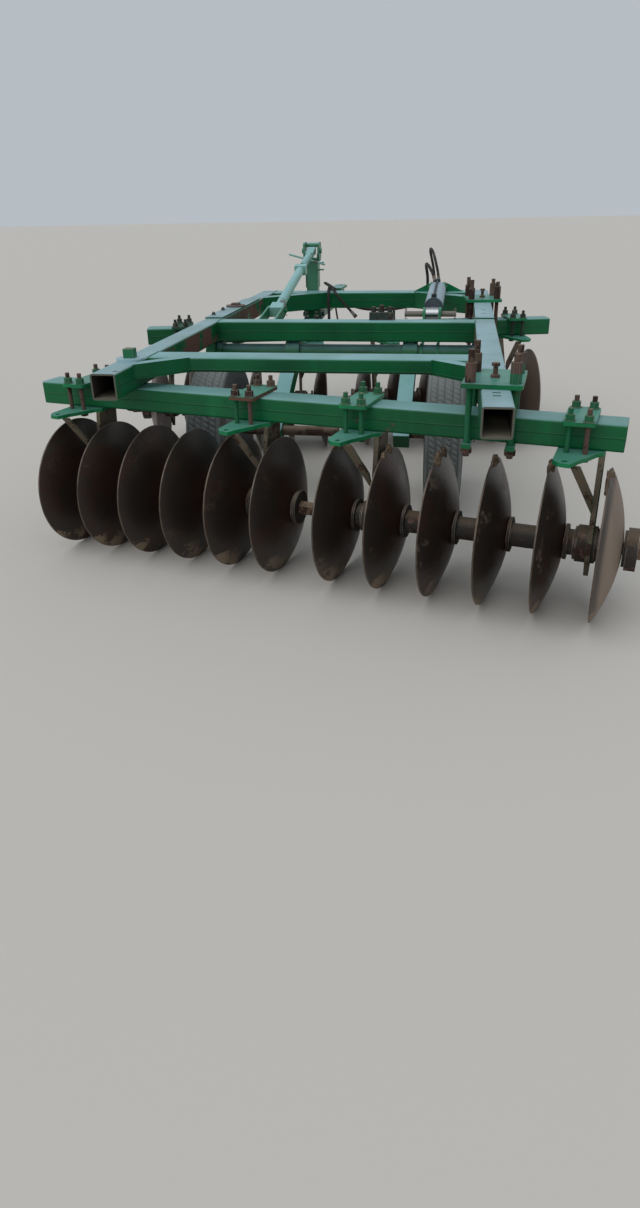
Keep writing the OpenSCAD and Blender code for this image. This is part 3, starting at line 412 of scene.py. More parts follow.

# %% [markdown]
# Dust settles on what faces up, and on a dusty field it lies on every top face as a pale film. On the paint
# the film is also a painted sheen that stands for the sky's reflection on the top faces. The film group
# reads the normal in the piece's own frame, so that the film stays on its face when the piece moves.

# %% Dust and painted sky sheen group
def film_group():
    group, into, out = node_group("dust and sky sheen film", [("Cover", FLOAT, 0.8)], [("Mask", FLOAT)])
    # faces that look up get the film; on the paint it is partly dust and partly a painted sky sheen
    flat = ramp(group, axes_of(group, place_of(group, "Normal"))["Z"], 0.35, 0.95)
    uneven = math_node(group, "ADD", times(group, noise_of(group, 4.0, detail=6.0), 0.9), 0.35, clamp=True)
    cover = times(group, times(group, flat, uneven), into.outputs["Cover"], clamp=True)
    group.links.new(cover, out.inputs["Mask"])
    return group


FILM = film_group()
print("dust and sky sheen film", len(FILM.nodes), "nodes")

# %% [markdown]
# A disc wears in circles, so its finish depends on the distance from the gang's axle. The turning group
# takes a point on the axle and its direction, and puts out that distance and the way along the axle.

# %% Distance from an axle group
def turning_group():
    group, into, out = node_group("distance from an axle",
                                  [("Point", VECTOR, (0, 0, 0)), ("Direction", VECTOR, (1, 0, 0))],
                                  [("Distance", FLOAT), ("Along", FLOAT)])
    away = vector_node(group, "SUBTRACT", place_of(group), into.outputs["Point"])["Vector"]
    across = vector_node(group, "CROSS_PRODUCT", away, into.outputs["Direction"])["Vector"]
    distance = vector_node(group, "LENGTH", across)["Value"]
    along = vector_node(group, "DOT_PRODUCT", away, into.outputs["Direction"])["Value"]
    group.links.new(distance, out.inputs["Distance"])
    group.links.new(along, out.inputs["Along"])
    return group


TURNING = turning_group()
print("distance from an axle", len(TURNING.nodes), "nodes")

# %% [markdown]
# Each finish starts from the same few moves: lay one colour over another through a mask, and let a height
# bend the light. The small class below keeps a material's tree together and does these moves by name.

# %% A material being mixed
class Finish:
    def __init__(self, name, base, roughness, metallic=0.0):
        self.material = bpy.data.materials.new(name)
        self.material.use_nodes = True
        self.tree = self.material.node_tree
        self.shader = self.tree.nodes["Principled BSDF"]
        self.shader.inputs["Base Color"].default_value = base
        self.shader.inputs["Roughness"].default_value = roughness
        self.shader.inputs["Metallic"].default_value = metallic

    def group(self, group, output, **values):
        made = self.tree.nodes.new("ShaderNodeGroup")
        made.node_tree = group
        for label, value in values.items():
            made.inputs[label].default_value = value
        return made.outputs[output]

    def patches(self, scale, cover, share=1.0):
        """A mask of patches; a share below 1 lets what lies beneath show through."""
        mask = self.group(PATCHES, "Mask", Scale=scale, Cover=cover)
        return mask if share == 1.0 else times(self.tree, mask, share)

    def lay(self, label, over, mask):
        """Mixes a colour or a number over what the shader's input has now, through a mask."""
        socket = self.shader.inputs[label]
        colour = socket.type == "RGBA"
        mix = self.tree.nodes.new("ShaderNodeMix")
        mix.data_type = "RGBA" if colour else "FLOAT"
        wanted = "RGBA" if colour else "VALUE"
        sides = {s.name: s for s in mix.inputs if s.type == wanted and s.name in ("A", "B")}
        under = socket.links[0].from_socket if socket.is_linked else socket.default_value
        feed(self.tree, sides["A"], under)
        feed(self.tree, sides["B"], over)
        factor = next(s for s in mix.inputs if s.name == "Factor" and s.enabled)
        self.tree.links.new(mask, factor)
        self.tree.links.new(next(s for s in mix.outputs if s.enabled), socket)

    def coat(self, mask, colour, roughness=None, metallic=None):
        self.lay("Base Color", colour, mask)
        if roughness is not None:
            self.lay("Roughness", roughness, mask)
        if metallic is not None:
            self.lay("Metallic", metallic, mask)

    def bump(self, height, distance):
        made = self.tree.nodes.new("ShaderNodeBump")
        made.inputs["Strength"].default_value = 1.0
        made.inputs["Distance"].default_value = distance
        self.tree.links.new(height, made.inputs["Height"])
        normal = self.shader.inputs["Normal"]
        if normal.is_linked:
            self.tree.links.new(normal.links[0].from_socket, made.inputs["Normal"])
        self.tree.links.new(made.outputs["Normal"], normal)

    def grain(self, scale, cover, distance):
        """A fine, uneven surface from the patch group's height."""
        self.bump(self.group(PATCHES, "Height", Scale=scale, Cover=cover), distance)


# %% [markdown]
# Some finishes belong to one place: the inside of an open tube, a nut that was painted over, one rusty
# plate. Each could be a face of its own with its own material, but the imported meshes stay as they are. The
# zone group takes the two corners of a box instead and puts out 1 inside it.

# %% Zone group
ZONE_RIM = 0.001


def zone_group():
    group, into, out = node_group("zone", [("Low", VECTOR, (0, 0, 0)), ("High", VECTOR, (1, 1, 1))],
                                  [("Mask", FLOAT)])
    place = place_of(group)
    rooms = []
    for first, second in ((place, into.outputs["Low"]), (into.outputs["High"], place)):
        x, y, z = axes_of(group, vector_node(group, "SUBTRACT", first, second)["Vector"])
        rooms.append(math_node(group, "MINIMUM", math_node(group, "MINIMUM", x, y), z))
    mask = ramp(group, math_node(group, "MINIMUM", *rooms), 0.0, ZONE_RIM)
    group.links.new(mask, out.inputs["Mask"])
    return group


ZONE = zone_group()
print("zone", len(ZONE.nodes), "nodes")


def zone(finish, low, high):
    """A mask that is 1 between two corners given in the machine's own frame."""
    return finish.group(ZONE, "Mask", Low=at(*low), High=at(*high))


def zone_patches(finish, low, high, scale, cover):
    """Patches that stay inside a zone."""
    return times(finish.tree, zone(finish, low, high), finish.patches(scale, cover))


# %% [markdown]
# The frame is painted emerald green over rough tube. The paint is satin, uneven in tone, and worn to rust at
# its edges and in patches. Every top face gets a pale coat that is partly dust and partly a painted sheen
# standing for the sky's reflection. The coats are laid in this order: tone, streaks, scuffs, dust and
# painted sheen, rust, bare edges. The box tubes are made of two channels welded toe to toe, which leaves a
# faint line at half their height.

# %% Frame paint
PAINT_ROUGHNESS, PAINT_SHINE = 0.36, 0.3


def seam(finish, colour, height):
    """A faint level line, raised and darker than the paint."""
    tree = finish.tree
    above = math_node(tree, "SUBTRACT", axes_of(tree, place_of(tree))["Z"], height)
    away = math_node(tree, "ABSOLUTE", above)
    line = ramp(tree, times(tree, away, -1.0), -0.004, -0.001)
    finish.bump(line, 0.0012)
    finish.coat(times(tree, line, 0.4), tinted(colour, 0.35))


def painted(name, colour, rust=0.30, film=0.8, dust_and_sheen=TEAL_DUST_AND_SHEEN, seams=()):
    finish = Finish(name, colour, PAINT_ROUGHNESS)
    finish.shader.inputs["Specular IOR Level"].default_value = PAINT_SHINE
    tree = finish.tree
    tone = ramp(tree, noise_of(tree, 2.2, detail=5.0), 0.40, 0.72)
    finish.coat(tone, tinted(colour, 0.62), roughness=PAINT_ROUGHNESS + 0.1)
    streaks = ramp(tree, noise_of(tree, 7.0, detail=6.0, stretch=(1.0, 1.0, 0.3)), 0.56, 0.78)
    finish.coat(times(tree, streaks, 0.5), tinted(colour, 1.7))
    scuffs = finish.patches(scale=17.0, cover=0.26, share=0.5)
    finish.coat(scuffs, tinted(colour, 0.3), roughness=0.6)
    # the pale coat on top faces: dust, and a painted sheen that stands for the sky's reflection
    finish.coat(finish.group(FILM, "Mask", Cover=film), dust_and_sheen, roughness=0.45)
    rusty = finish.patches(scale=3.2, cover=rust)
    finish.coat(times(tree, rusty, 0.85), BARE_RUST, roughness=0.8)
    worn = finish.group(EDGE_WEAR, "Mask", Width=0.005, Reach=0.5)
    finish.coat(times(tree, worn, 0.8), DARK_RUST, roughness=0.75)
    finish.grain(scale=6.0, cover=rust, distance=0.0006)
    finish.bump(rusty, 0.0005)
    for height in seams:
        seam(finish, colour, height)
    return finish


HALF_TUBE, TUBE_WALL, RAIL_X = 0.060, 0.008, 0.8575
INNER_X = RAIL_X - HALF_TUBE
RAIL_TOP, BEAM_MIDDLE = 0.942, 0.767
RAIL_MIDDLE = RAIL_TOP - HALF_TUBE
rail_paint = painted("rail paint", EMERALD, film=1.0, dust_and_sheen=SKY_SHEEN_AND_DUST, seams=[RAIL_MIDDLE])
tube_paint = painted("cross tube paint", EMERALD, rust=0.24, film=0.9, seams=[RAIL_MIDDLE])
beam_paint = painted("gang beam paint", EMERALD, dust_and_sheen=BEAM_DUST_AND_SHEEN, seams=[BEAM_MIDDLE])
plate_paint = painted("plate paint", LEAF_GREEN, rust=0.26, film=0.38)
link_paint = painted("link paint", MINT, film=0.9)
tower_paint = painted("tower paint", TOWER_GREEN, film=0.9)
arm_paint = painted("wheel arm paint", EMERALD, film=1.0)
print("rail paint", len(rail_paint.tree.nodes), "nodes")

# %% [markdown]
# The rails are open at the back. Their inside was never painted: dark rust on the walls, field dust on the
# floor. Their cut ends are bare, brown-beige steel. On the rails' inner sides the paint is mostly gone.
# These places are zones laid over the finished paint, so that one rail stays one mesh with one material.

# %% Open rails, their cut ends and inner sides
RAIL_REAR, RAIL_FRONT = -2, 5  # beyond both ends of the rails
INSIDE_SKIN, FLOOR_DUST, END_SKIN, SIDE_SKIN = 0.0015, 0.004, 0.0008, 0.001
END_ROOM, END_BEHIND, END_HEIGHTS = 0.1, 0.01, (0.8, 1.0)
RUSTY_SIDE, RUSTY_HEIGHTS = (0.6, 3.24), (0.824, 0.938)


def bare_inside(finish, side):
    x, inner = side * RAIL_X, HALF_TUBE - TUBE_WALL + INSIDE_SKIN
    low = (x - inner, RAIL_REAR, RAIL_MIDDLE - inner)
    high = (x + inner, RAIL_FRONT, RAIL_MIDDLE + inner)
    finish.coat(zone(finish, low, high), TUBE_INSIDE, roughness=0.9)
    floor_high = (x + inner, RAIL_FRONT, RAIL_MIDDLE - inner + FLOOR_DUST)
    finish.coat(zone_patches(finish, low, floor_high, scale=9.0, cover=0.9), TUBE_FLOOR, roughness=0.95)


def bare_end(finish, side):
    x, rear = side * RAIL_X, -RIGHT_TAIL if side > 0 else 0.0
    low = (x - END_ROOM, rear - END_BEHIND, END_HEIGHTS[0])
    high = (x + END_ROOM, rear + END_SKIN, END_HEIGHTS[1])
    finish.coat(zone_patches(finish, low, high, scale=30.0, cover=0.85), CUT_STEEL, roughness=0.8)


def rusty_inner_side(finish, side):
    x = side * INNER_X
    low = (x - SIDE_SKIN, RUSTY_SIDE[0], RUSTY_HEIGHTS[0])
    high = (x + SIDE_SKIN, RUSTY_SIDE[1], RUSTY_HEIGHTS[1])
    finish.coat(zone_patches(finish, low, high, scale=5.0, cover=0.62), BARE_RUST, roughness=0.85)


for side in (-1, 1):
    bare_inside(rail_paint, side)
    bare_end(rail_paint, side)
    rusty_inner_side(rail_paint, side)
print("rail paint with its zones", len(rail_paint.tree.nodes), "nodes")

# %% [markdown]
# All the small plates share one paint, but three places differ: the rusty top plate of the second hanger
# from the left, the front left plates, which lie in the frame's shade and look darker and bluer, and the
# two cheeks of the cylinder's lever, whose upper ends are rubbed to grey steel.

# %% Plates that differ
RUSTY_PLATE = ((-0.33, 0.0, 0.815), (-0.09, 0.5, 0.8365))
FRONT_LEFT = ((-2, 2.0, 0.60), (-0.4, 4.0, 0.90))
LEVER_CHEEKS, CHEEK_ROOM = (0.405, 0.655), 0.065
CHEEK_DEPTH, CHEEK_HEIGHTS = (1.94, 2.04), (0.90, 0.985)
plate_paint.coat(zone_patches(plate_paint, *RUSTY_PLATE, scale=8.0, cover=0.8), BARE_RUST, roughness=0.85)
plate_paint.coat(zone(plate_paint, *FRONT_LEFT), SHADED_GREEN, roughness=0.5)
for x in LEVER_CHEEKS:
    low = (x - CHEEK_ROOM, CHEEK_DEPTH[0], CHEEK_HEIGHTS[0])
    high = (x + CHEEK_ROOM, CHEEK_DEPTH[1], CHEEK_HEIGHTS[1])
    plate_paint.coat(zone(plate_paint, low, high), LEVER_STEEL, roughness=0.6)
print("plate paint", len(plate_paint.tree.nodes), "nodes")

# %% [markdown]
# Unpainted steel that stands in a field rusts brown all over, rubs bright on its corners and takes dust.
# Studs also have a thread. Cut as geometry it would cost thousands of faces on each stud, so it is a fine
# wave that bends the light. Some nuts were painted over with the frame.

# %% Bare and rusty steel
THREAD_SCALE = 130


def rusty_steel(name, colour, worn=WORN_STEEL, thread=False, edge=0.003, metallic=0.25, green=(), dark=()):
    """Rusty steel; green and dark are lists of boxes in which it was painted over or lies in the shade."""
    finish = Finish(name, colour, 0.68, metallic)
    tree = finish.tree
    finish.coat(finish.patches(scale=11.0, cover=0.50), DARK_RUST, roughness=0.8)
    finish.coat(finish.patches(scale=23.0, cover=0.36, share=0.7), PINK_RUST, roughness=0.8)
    for box in green:
        paint = zone_patches(finish, *box, scale=20.0, cover=0.86)
        finish.coat(paint, tinted(LEAF_GREEN, 0.8), roughness=0.45, metallic=0.0)
    for box in dark:
        finish.coat(zone(finish, *box), SHADED_STUD, roughness=0.6, metallic=0.1)
    finish.coat(finish.group(FILM, "Mask", Cover=0.45), FIELD_DUST, roughness=0.85)
    edges = finish.group(EDGE_WEAR, "Mask", Width=edge, Reach=0.6)
    finish.coat(edges, worn, roughness=0.45, metallic=0.6)
    finish.grain(scale=30.0, cover=0.4, distance=0.0008)
    if thread:
        wave = tree.nodes.new("ShaderNodeTexWave")
        wave.bands_direction = "Z"
        wave.inputs["Scale"].default_value = THREAD_SCALE
        tree.links.new(place_of(tree), wave.inputs["Vector"])
        finish.bump(wave.outputs["Fac"], 0.0012)
    return finish


# %% [markdown]
# Which studs and nuts are green was read off the photograph, one by one, counting the rear hangers from the
# left. Each box below holds some that were painted over: all of hanger three, hanger four's left studs and
# right nuts, one rod of hanger two, the nuts of hanger one, and on the rear clamp its rods and the lower of
# the stacked nuts.

# %% Studs, castings, pins and fittings
GREEN_HANGERS = [
    ((0.18, -0.40, 0.60), (0.44, 0.40, 1.00)), ((1.08, -0.50, 0.60), (1.176, 0.00, 1.00)),
    ((1.176, -0.50, 0.838), (1.34, 0.20, 0.868)), ((-0.30, -0.10, 0.69), (-0.235, 0.15, 0.83)),
    ((-1.20, 0.20, 0.838), (-1.00, 0.60, 0.868))]
GREEN_CLAMP = [((0.88, -0.30, 0.955), (1.02, 0.20, 1.002)), ((0.70, -0.30, 0.712), (1.02, 0.20, 0.944))]
GREEN_PIVOT_NUT = [((-1.0, 0.25, 0.953), (-0.7, 0.45, 1.02))]
PIVOT_WASHER = ((-1.0, 0.2, 0.94), (-0.7, 0.5, 0.9535))
FRONT_ROW = [((-2.0, 1.20, 0.60), (2.0, 3.40, 1.20))]

hanger_stud_steel = rusty_steel("hanger stud steel", STUD_BROWN, thread=True,
                                green=GREEN_HANGERS, dark=FRONT_ROW)
clamp_stud_steel = rusty_steel("clamp stud steel", STUD_BROWN, thread=True, green=GREEN_CLAMP)
worn_green = tinted(LEAF_GREEN, 0.9)
standard_steel = rusty_steel("standard steel", shade(100, 90, 74), worn=worn_green, edge=0.004)
cast_iron = rusty_steel("cast iron", shade(52, 48, 44), edge=0.005)
valve_iron = rusty_steel("valve iron", shade(46, 58, 52))
axle_steel = rusty_steel("axle steel", shade(90, 74, 62))
pin_steel = rusty_steel("pin steel", shade(128, 116, 102), metallic=0.5)
bell_steel = rusty_steel("bell washer steel", shade(120, 96, 76))
fitting_steel = rusty_steel("fitting steel", shade(138, 132, 122), metallic=0.7)
pivot_steel = rusty_steel("pivot steel", shade(98, 84, 82), green=GREEN_PIVOT_NUT)
washer_dust = zone_patches(pivot_steel, *PIVOT_WASHER, scale=6.0, cover=0.9)
pivot_steel.coat(washer_dust, SKY_SHEEN_AND_DUST, roughness=0.5, metallic=0.0)
print("hanger stud steel", len(hanger_stud_steel.tree.nodes), "nodes")

# %% [markdown]
# The discs work in the soil. Their dish is dark brown, nearly black, with fine rings from the turning soil,
# redder round the hub, dusty where they last touched the ground, and ground bright in a narrow band at the
# rim. The rings follow the distance from the axle, so they are right on every disc without any unwrapping.
# The outermost disc on the right stood out of the soil and is pale grey-beige.

# %% Disc steel
HUB_REACH = (-0.20, -0.07)  # the reddened middle, as distances from the axle with their sign turned
OUTER_PART = (0.20, 0.30)  # where soil cakes
RIM_BAND = (0.322, 0.327)  # ground bright
LAST_DISC = (0.50, 0.52)  # along the axle, just before the outermost disc
LOW_PART = ((-3, -3, -0.1), (3, 5, 0.13))  # what last touched the ground
RINGS_SCALE = 260


def disc_steel(name, axle, dusty, pale):
    finish = Finish(name, DISC_BROWN, 0.34, 0.45)
    tree = finish.tree
    distance = finish.group(TURNING, "Distance", Point=axle["point"], Direction=axle["axis"])
    finish.coat(finish.patches(scale=3.2, cover=0.50, share=0.5), DISC_RED, roughness=0.5)
    middle = ramp(tree, times(tree, distance, -1.0), *HUB_REACH)
    finish.coat(times(tree, middle, 0.6), HUB_RED, roughness=0.6)
    rings = tree.nodes.new("ShaderNodeTexNoise")
    rings.noise_dimensions = "1D"
    rings.inputs["Scale"].default_value = RINGS_SCALE
    tree.links.new(distance, rings.inputs["W"])
    bright = ramp(tree, rings.outputs["Fac"], 0.52, 0.85)
    finish.coat(times(tree, bright, 0.5), RING_BROWN, roughness=0.4, metallic=0.5)
    outer = ramp(tree, distance, *OUTER_PART)
    low = times(tree, outer, zone_patches(finish, *LOW_PART, scale=9.0, cover=0.52))
    finish.coat(times(tree, low, 0.7), FIELD_DUST, roughness=0.9, metallic=0.0)
    caked = times(tree, outer, finish.patches(scale=6.0, cover=0.40))
    finish.coat(times(tree, caked, dusty), CAKED_SOIL, roughness=0.85, metallic=0.0)
    if pale:
        along = finish.group(TURNING, "Along", Point=axle["point"], Direction=axle["axis"])
        streaks = times(tree, noise_of(tree, 9.0, detail=6.0, stretch=(1, 1, 0.3)), 0.5)
        mask = times(tree, times(tree, ramp(tree, along, *LAST_DISC), pale),
                     math_node(tree, "ADD", streaks, 0.5))
        finish.coat(mask, PALE_DISC, roughness=0.75, metallic=0.1)
    uneven = math_node(tree, "ADD", distance, times(tree, noise_of(tree, 18.0), 0.012))
    rim = ramp(tree, uneven, *RIM_BAND)
    finish.coat(times(tree, rim, 0.5), RIM_STEEL, roughness=0.38, metallic=0.6)
    finish.bump(rings.outputs["Fac"], 0.0004)
    finish.grain(scale=12.0, cover=0.4, distance=0.0008)
    return finish


# %% [markdown]
# The tyres roll on loose soil, so their rubber is grey with dust, and the tread is paler than the side
# walls. The tread's dust follows the distance from the wheel's middle. The hoses are black rubber, greyer
# where they rubbed on the frame.

# %% Rubber
TYRE_RADIUS = 0.400
TREAD_FROM, TREAD_FULL = TYRE_RADIUS - 0.035, TYRE_RADIUS - 0.012
wheel_spin = next(j for j in frame["joints"] if j["name"] == "left_wheel_spin")


def rubber(name, colour, grey, cover, fine):
    finish = Finish(name, colour, 0.75)
    finish.coat(finish.patches(scale=5.0, cover=cover, share=0.6), grey, roughness=0.9)
    finish.coat(finish.patches(scale=26.0, cover=0.4, share=0.3), RUBBER_DUST, roughness=0.9)
    finish.grain(scale=fine, cover=0.4, distance=0.0006)
    return finish


tyre_rubber = rubber("tyre rubber", RUBBER, RUBBER_GREY, cover=0.45, fine=24.0)
off_wheel = tyre_rubber.group(TURNING, "Distance", Point=wheel_spin["pos_m"], Direction=(1, 0, 0))
tread = ramp(tyre_rubber.tree, off_wheel, TREAD_FROM, TREAD_FULL)
tyre_rubber.coat(times(tyre_rubber.tree, tread, 0.85), TREAD_DUST, roughness=0.85)
hose_rubber = rubber("hose rubber", HOSE_BLACK, HOSE_GREY, cover=0.34, fine=90.0)
for tube in hose_tubes:
    tube.data.materials.append(hose_rubber.material)
print("tyre rubber", len(tyre_rubber.tree.nodes), "nodes")

# %% [markdown]
# The cylinder's barrel has light grey paint. Its feed pipe and the gland at its open end are dark. Both
# belong to the barrel's mesh, but they lie further from its middle line or nearer to the lever, so the
# turning group finds them. The rod is plated and bright, and the steel wheels are pale.

# %% Cylinder, rod and wheel finishes
CYLINDER_X, LUG_X = 0.530, 0.050
BASE_PIN, LEVER_PIN = (3.130, 0.988), (1.990, 0.942)
BARREL_SKIN = (0.0634, 0.0640)
GLAND_FROM = (-0.262, -0.258)  # from the lever's pin, with the sign turned
lever_eye = at(CYLINDER_X, *LEVER_PIN)
cylinder_axis = (at(CYLINDER_X, *BASE_PIN) - lever_eye).normalized()

cylinder_paint = painted("cylinder paint", CYLINDER_GREY, rust=0.22, film=0.3)
off_axis = cylinder_paint.group(TURNING, "Distance", Point=lever_eye, Direction=cylinder_axis)
cylinder_paint.coat(ramp(cylinder_paint.tree, off_axis, *BARREL_SKIN), PIPE_BLACK, roughness=0.5)
from_pin = cylinder_paint.group(TURNING, "Along", Point=lever_eye, Direction=cylinder_axis)
gland = ramp(cylinder_paint.tree, times(cylinder_paint.tree, from_pin, -1.0), *GLAND_FROM)
cylinder_paint.coat(times(cylinder_paint.tree, gland, 0.8), GLAND_BLACK, roughness=0.4)
wheel_paint = painted("wheel paint", WHEEL_GREY, rust=0.38, film=0.4)
plated = Finish("plated rod", shade(176, 178, 180), 0.22, 1.0)
plated.coat(plated.patches(scale=14.0, cover=0.32), shade(110, 98, 86), roughness=0.6)
print("cylinder", round((at(CYLINDER_X, *BASE_PIN) - lever_eye).length, 3), "m from eye to eye")

# %% [markdown]
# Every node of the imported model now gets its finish. The node keeps its own mesh: only the material in its
# slot changes. A table of names keeps this in one place.

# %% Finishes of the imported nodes
FINISHES = {
    "side_rails": rail_paint, "cross_tubes": tube_paint, "corner_braces": tube_paint,
    "gang_beams": beam_paint, "drawbar": beam_paint, "rockshaft_pipe": arm_paint, "wheel_arms": arm_paint,
    "beam_clamps": plate_paint, "hanger_plates": plate_paint, "rockshaft_bearings": plate_paint,
    "cylinder_bracket": plate_paint, "cylinder_lever": plate_paint, "link_bracket": plate_paint,
    "drawbar_bracket": plate_paint, "hitch_tower": tower_paint, "link_tube": link_paint,
    "link_screw": link_paint, "beam_pivots": pivot_steel, "clamp_studs": clamp_stud_steel,
    "hanger_studs": hanger_stud_steel, "standards": standard_steel, "bearing_housings": cast_iron,
    "valve_block": valve_iron, "hose_hook": axle_steel, "stub_axles": axle_steel,
    "hose_ends": fitting_steel, "left_tyre": tyre_rubber, "right_tyre": tyre_rubber,
    "left_wheel": wheel_paint, "right_wheel": wheel_paint, "cylinder_barrel": cylinder_paint,
    "cylinder_rod": plated}


def dress(node, finish):
    target = frame["nodes"][node]
    if not target.material_slots:
        target.data.materials.append(finish.material)
    for slot in target.material_slots:
        slot.material = finish.material


for node, finish in FINISHES.items():
    dress(node, finish)
print("dressed", len(FINISHES), "nodes")

# %% [markdown]
# The four gangs repeat, so a loop dresses them. Each gang's discs get a material of their own, because
# their rings need that gang's axle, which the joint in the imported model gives.

# %% Finishes of the four gangs
GANGS = ["rear_left", "rear_right", "front_left", "front_right"]
# how dusty the discs are, and how pale the outermost one is
DISC_DUST = {"rear_right": (0.6, 1.0), "front_right": (0.5, 0.6)}
PLAIN_DISCS = (0.18, 0.0)


def middle_of(node):
    low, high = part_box(node)
    return (Vector(low) + Vector(high)) / 2


axles = {}
for gang in GANGS:
    joint = next(j for j in frame["joints"] if j["name"] == gang + "_gang_spin")
    axles[gang] = {"point": Vector(joint["pos_m"]), "axis": Vector(joint["axis"])}
    dress(gang + "_discs", disc_steel(gang + " disc steel", axles[gang], *DISC_DUST.get(gang, PLAIN_DISCS)))
    dress(gang + "_spools", cast_iron)
    dress(gang + "_axle", bell_steel)
    print(gang, "axle at", [round(v, 3) for v in axles[gang]["point"]], "node's middle",
          [round(v, 3) for v in middle_of(gang + "_axle")])

# %% [markdown]
# Where tubes meet, a welder has run a bead. It is a small tube along the joint, half sunk into the steel,
# whose radius ripples as the drops follow each other. A bump map would do from afar, but a bead is what
# catches the light at a joint. One helper makes all the beads of a part as one piece.

# %% Weld beads
BEAD_RADIUS, BEAD_SIDES, BEAD_PITCH = 0.005, 6, 0.006
BEAD_RIPPLE, DROPS_A_STEP = 0.22, 0.9
WELD_CORNER = 0.010
# columns: rear side, front side, underside
CROSS_TUBES = [(0.410, 0.570, 0.872), (1.630, 1.750, 0.822), (3.250, 3.410, 0.822)]


def bead(path):
    route = []
    for a, b in zip(path, path[1:]):
        count = max(2, round((b - a).length / BEAD_PITCH))
        route += [a.lerp(b, k / count) for k in range(count)]
    route.append(path[-1])

    def rippled(share):
        drop = Vector((share * len(route) * DROPS_A_STEP, 0, 0))
        return BEAD_RADIUS * (1 + BEAD_RIPPLE * noise.noise(drop))

    return skin(rings_along(route, rippled, BEAD_SIDES))


def joined(parts):
    """The points and faces of several parts as those of one."""
    points, faces = [], []
    for part_points, part_faces in parts:
        start = len(points)
        points += part_points
        faces += [tuple(i + start for i in face) for face in part_faces]
    return points, faces


def weld(name, paths):
    made = piece(name, *joined([bead(path) for path in paths]), "frame", "frame_green", tube_paint)
    print(name, len(paths), "beads,", len(made.data.polygons), "faces")


def outline_at(x, y0, y1, z0, z1):
    """The closed joint, with cut corners, of a tube that meets a rail's side at x."""
    c = WELD_CORNER
    corners = [(y0, z0 + c), (y0, z1 - c), (y0 + c, z1), (y1 - c, z1), (y1, z1 - c), (y1, z0 + c),
               (y1 - c, z0), (y0 + c, z0), (y0, z0 + c)]
    return [at(x, y, z) for y, z in corners]


weld("cross_tube_welds", [outline_at(side * INNER_X, rear, front, low, RAIL_TOP)
                          for rear, front, low in CROSS_TUBES for side in (-1, 1)])

# %% [markdown]
# The corner braces are welded too. A brace meets the rail at one end and the rear of its cross tube at the
# other, and an upright bead at each end is what shows of the joint.

# %% Brace welds
# columns: the cross tube, the reach along it, the reach along the rail
BRACES = [(CROSS_TUBES[0], 0.210, 0.190), (CROSS_TUBES[2], 0.450, 0.350)]


def brace_paths(side, cross_tube, along_tube, along_rail):
    cross_y, _, low = cross_tube
    feet = [(side * INNER_X, cross_y - along_rail), (side * (INNER_X - along_tube), cross_y)]
    return [[at(x, y, low), at(x, y, RAIL_TOP)] for x, y in feet]


weld("brace_welds", [path for brace in BRACES for side in (-1, 1) for path in brace_paths(side, *brace)])

# %% [markdown]
# Small round and six-sided pieces all come from turned profiles: a list of radius and height, spun round an
# axis. With six sides and flat shading the same helper makes a nut.

# %% Turned pieces
def turned(profile, centre, axis, sides=24):
    """Points and faces of a profile of (radius, height) pairs spun round an axis through a centre."""
    axis = Vector(axis).normalized()
    across = axis.orthogonal().normalized()
    other = axis.cross(across)
    turns = [2 * math.pi * i / sides for i in range(sides)]
    return skin([[centre + axis * height + (across * math.cos(a) + other * math.sin(a)) * radius
                  for a in turns] for radius, height in profile])


def nut(centre, axis, width, height):
    """A nut with a chamfered top, and the end of its bolt, both in shares of the nut's size."""
    corner = width / 2 / math.cos(math.pi / 6)
    body = turned([(corner, 0), (corner, height * 0.88), (corner * 0.9, height)], centre, axis, 6)
    bolt = [(width * 0.28, height * 0.9), (width * 0.28, height * 1.25), (width * 0.22, height * 1.35)]
    return [body, turned(bolt, centre, axis, 12)]


# %% [markdown]
# The wheels are pressed steel, held by six nuts round a hub with a dust cap, and a valve comes through the
# disc near the rim. They sit on the outer face of each wheel's disc, and each wheel's set is one piece that
# turns with the wheel.

# %% Wheel nuts, dust caps and valves
NUTS, NUT_CIRCLE, FIRST_NUT = 6, 0.088, 15
WHEEL_NUT = (0.027, 0.018)  # width and height
DISC_FACE, HUB_OUT, VALVE_OUT, VALVE_CIRCLE = 0.021, 0.075, 0.014, 0.172
DUST_CAP = [(0.036, 0), (0.036, 0.010), (0.030, 0.018), (0.014, 0.023), (0.001, 0.024)]
VALVE = [(0.006, 0), (0.006, 0.026), (0.0045, 0.028), (0.0045, 0.036)]

for label, side in (("left", -1), ("right", 1)):
    hub = middle_of(label + "_tyre")
    outward = Vector((side, 0, 0))
    parts = []
    for k in range(NUTS):
        angle = math.radians(360 / NUTS * k + FIRST_NUT)
        spot = hub + outward * DISC_FACE + Vector((0, math.cos(angle), math.sin(angle))) * NUT_CIRCLE
        parts += nut(spot, outward, *WHEEL_NUT)
    parts.append(turned(DUST_CAP, hub + outward * HUB_OUT, outward, 32))
    parts.append(turned(VALVE, hub + outward * VALVE_OUT + Vector((0, VALVE_CIRCLE, 0)), outward, 12))
    piece(label + "_wheel_nuts", *joined(parts), label + "_wheel", "bare_steel", pin_steel, smooth=False)
    print(label, "wheel", len(parts), "turned parts")

# %% [markdown]
# A tyre for carting an implement has round ribs with grooves between them and fine slanted cuts across each
# rib. The cuts could be cut out of a smooth tyre, but that leaves ragged faces. Instead the tread is a
# skewed grid: its lines lean across the tread, and a cut is one line of points pushed inward.

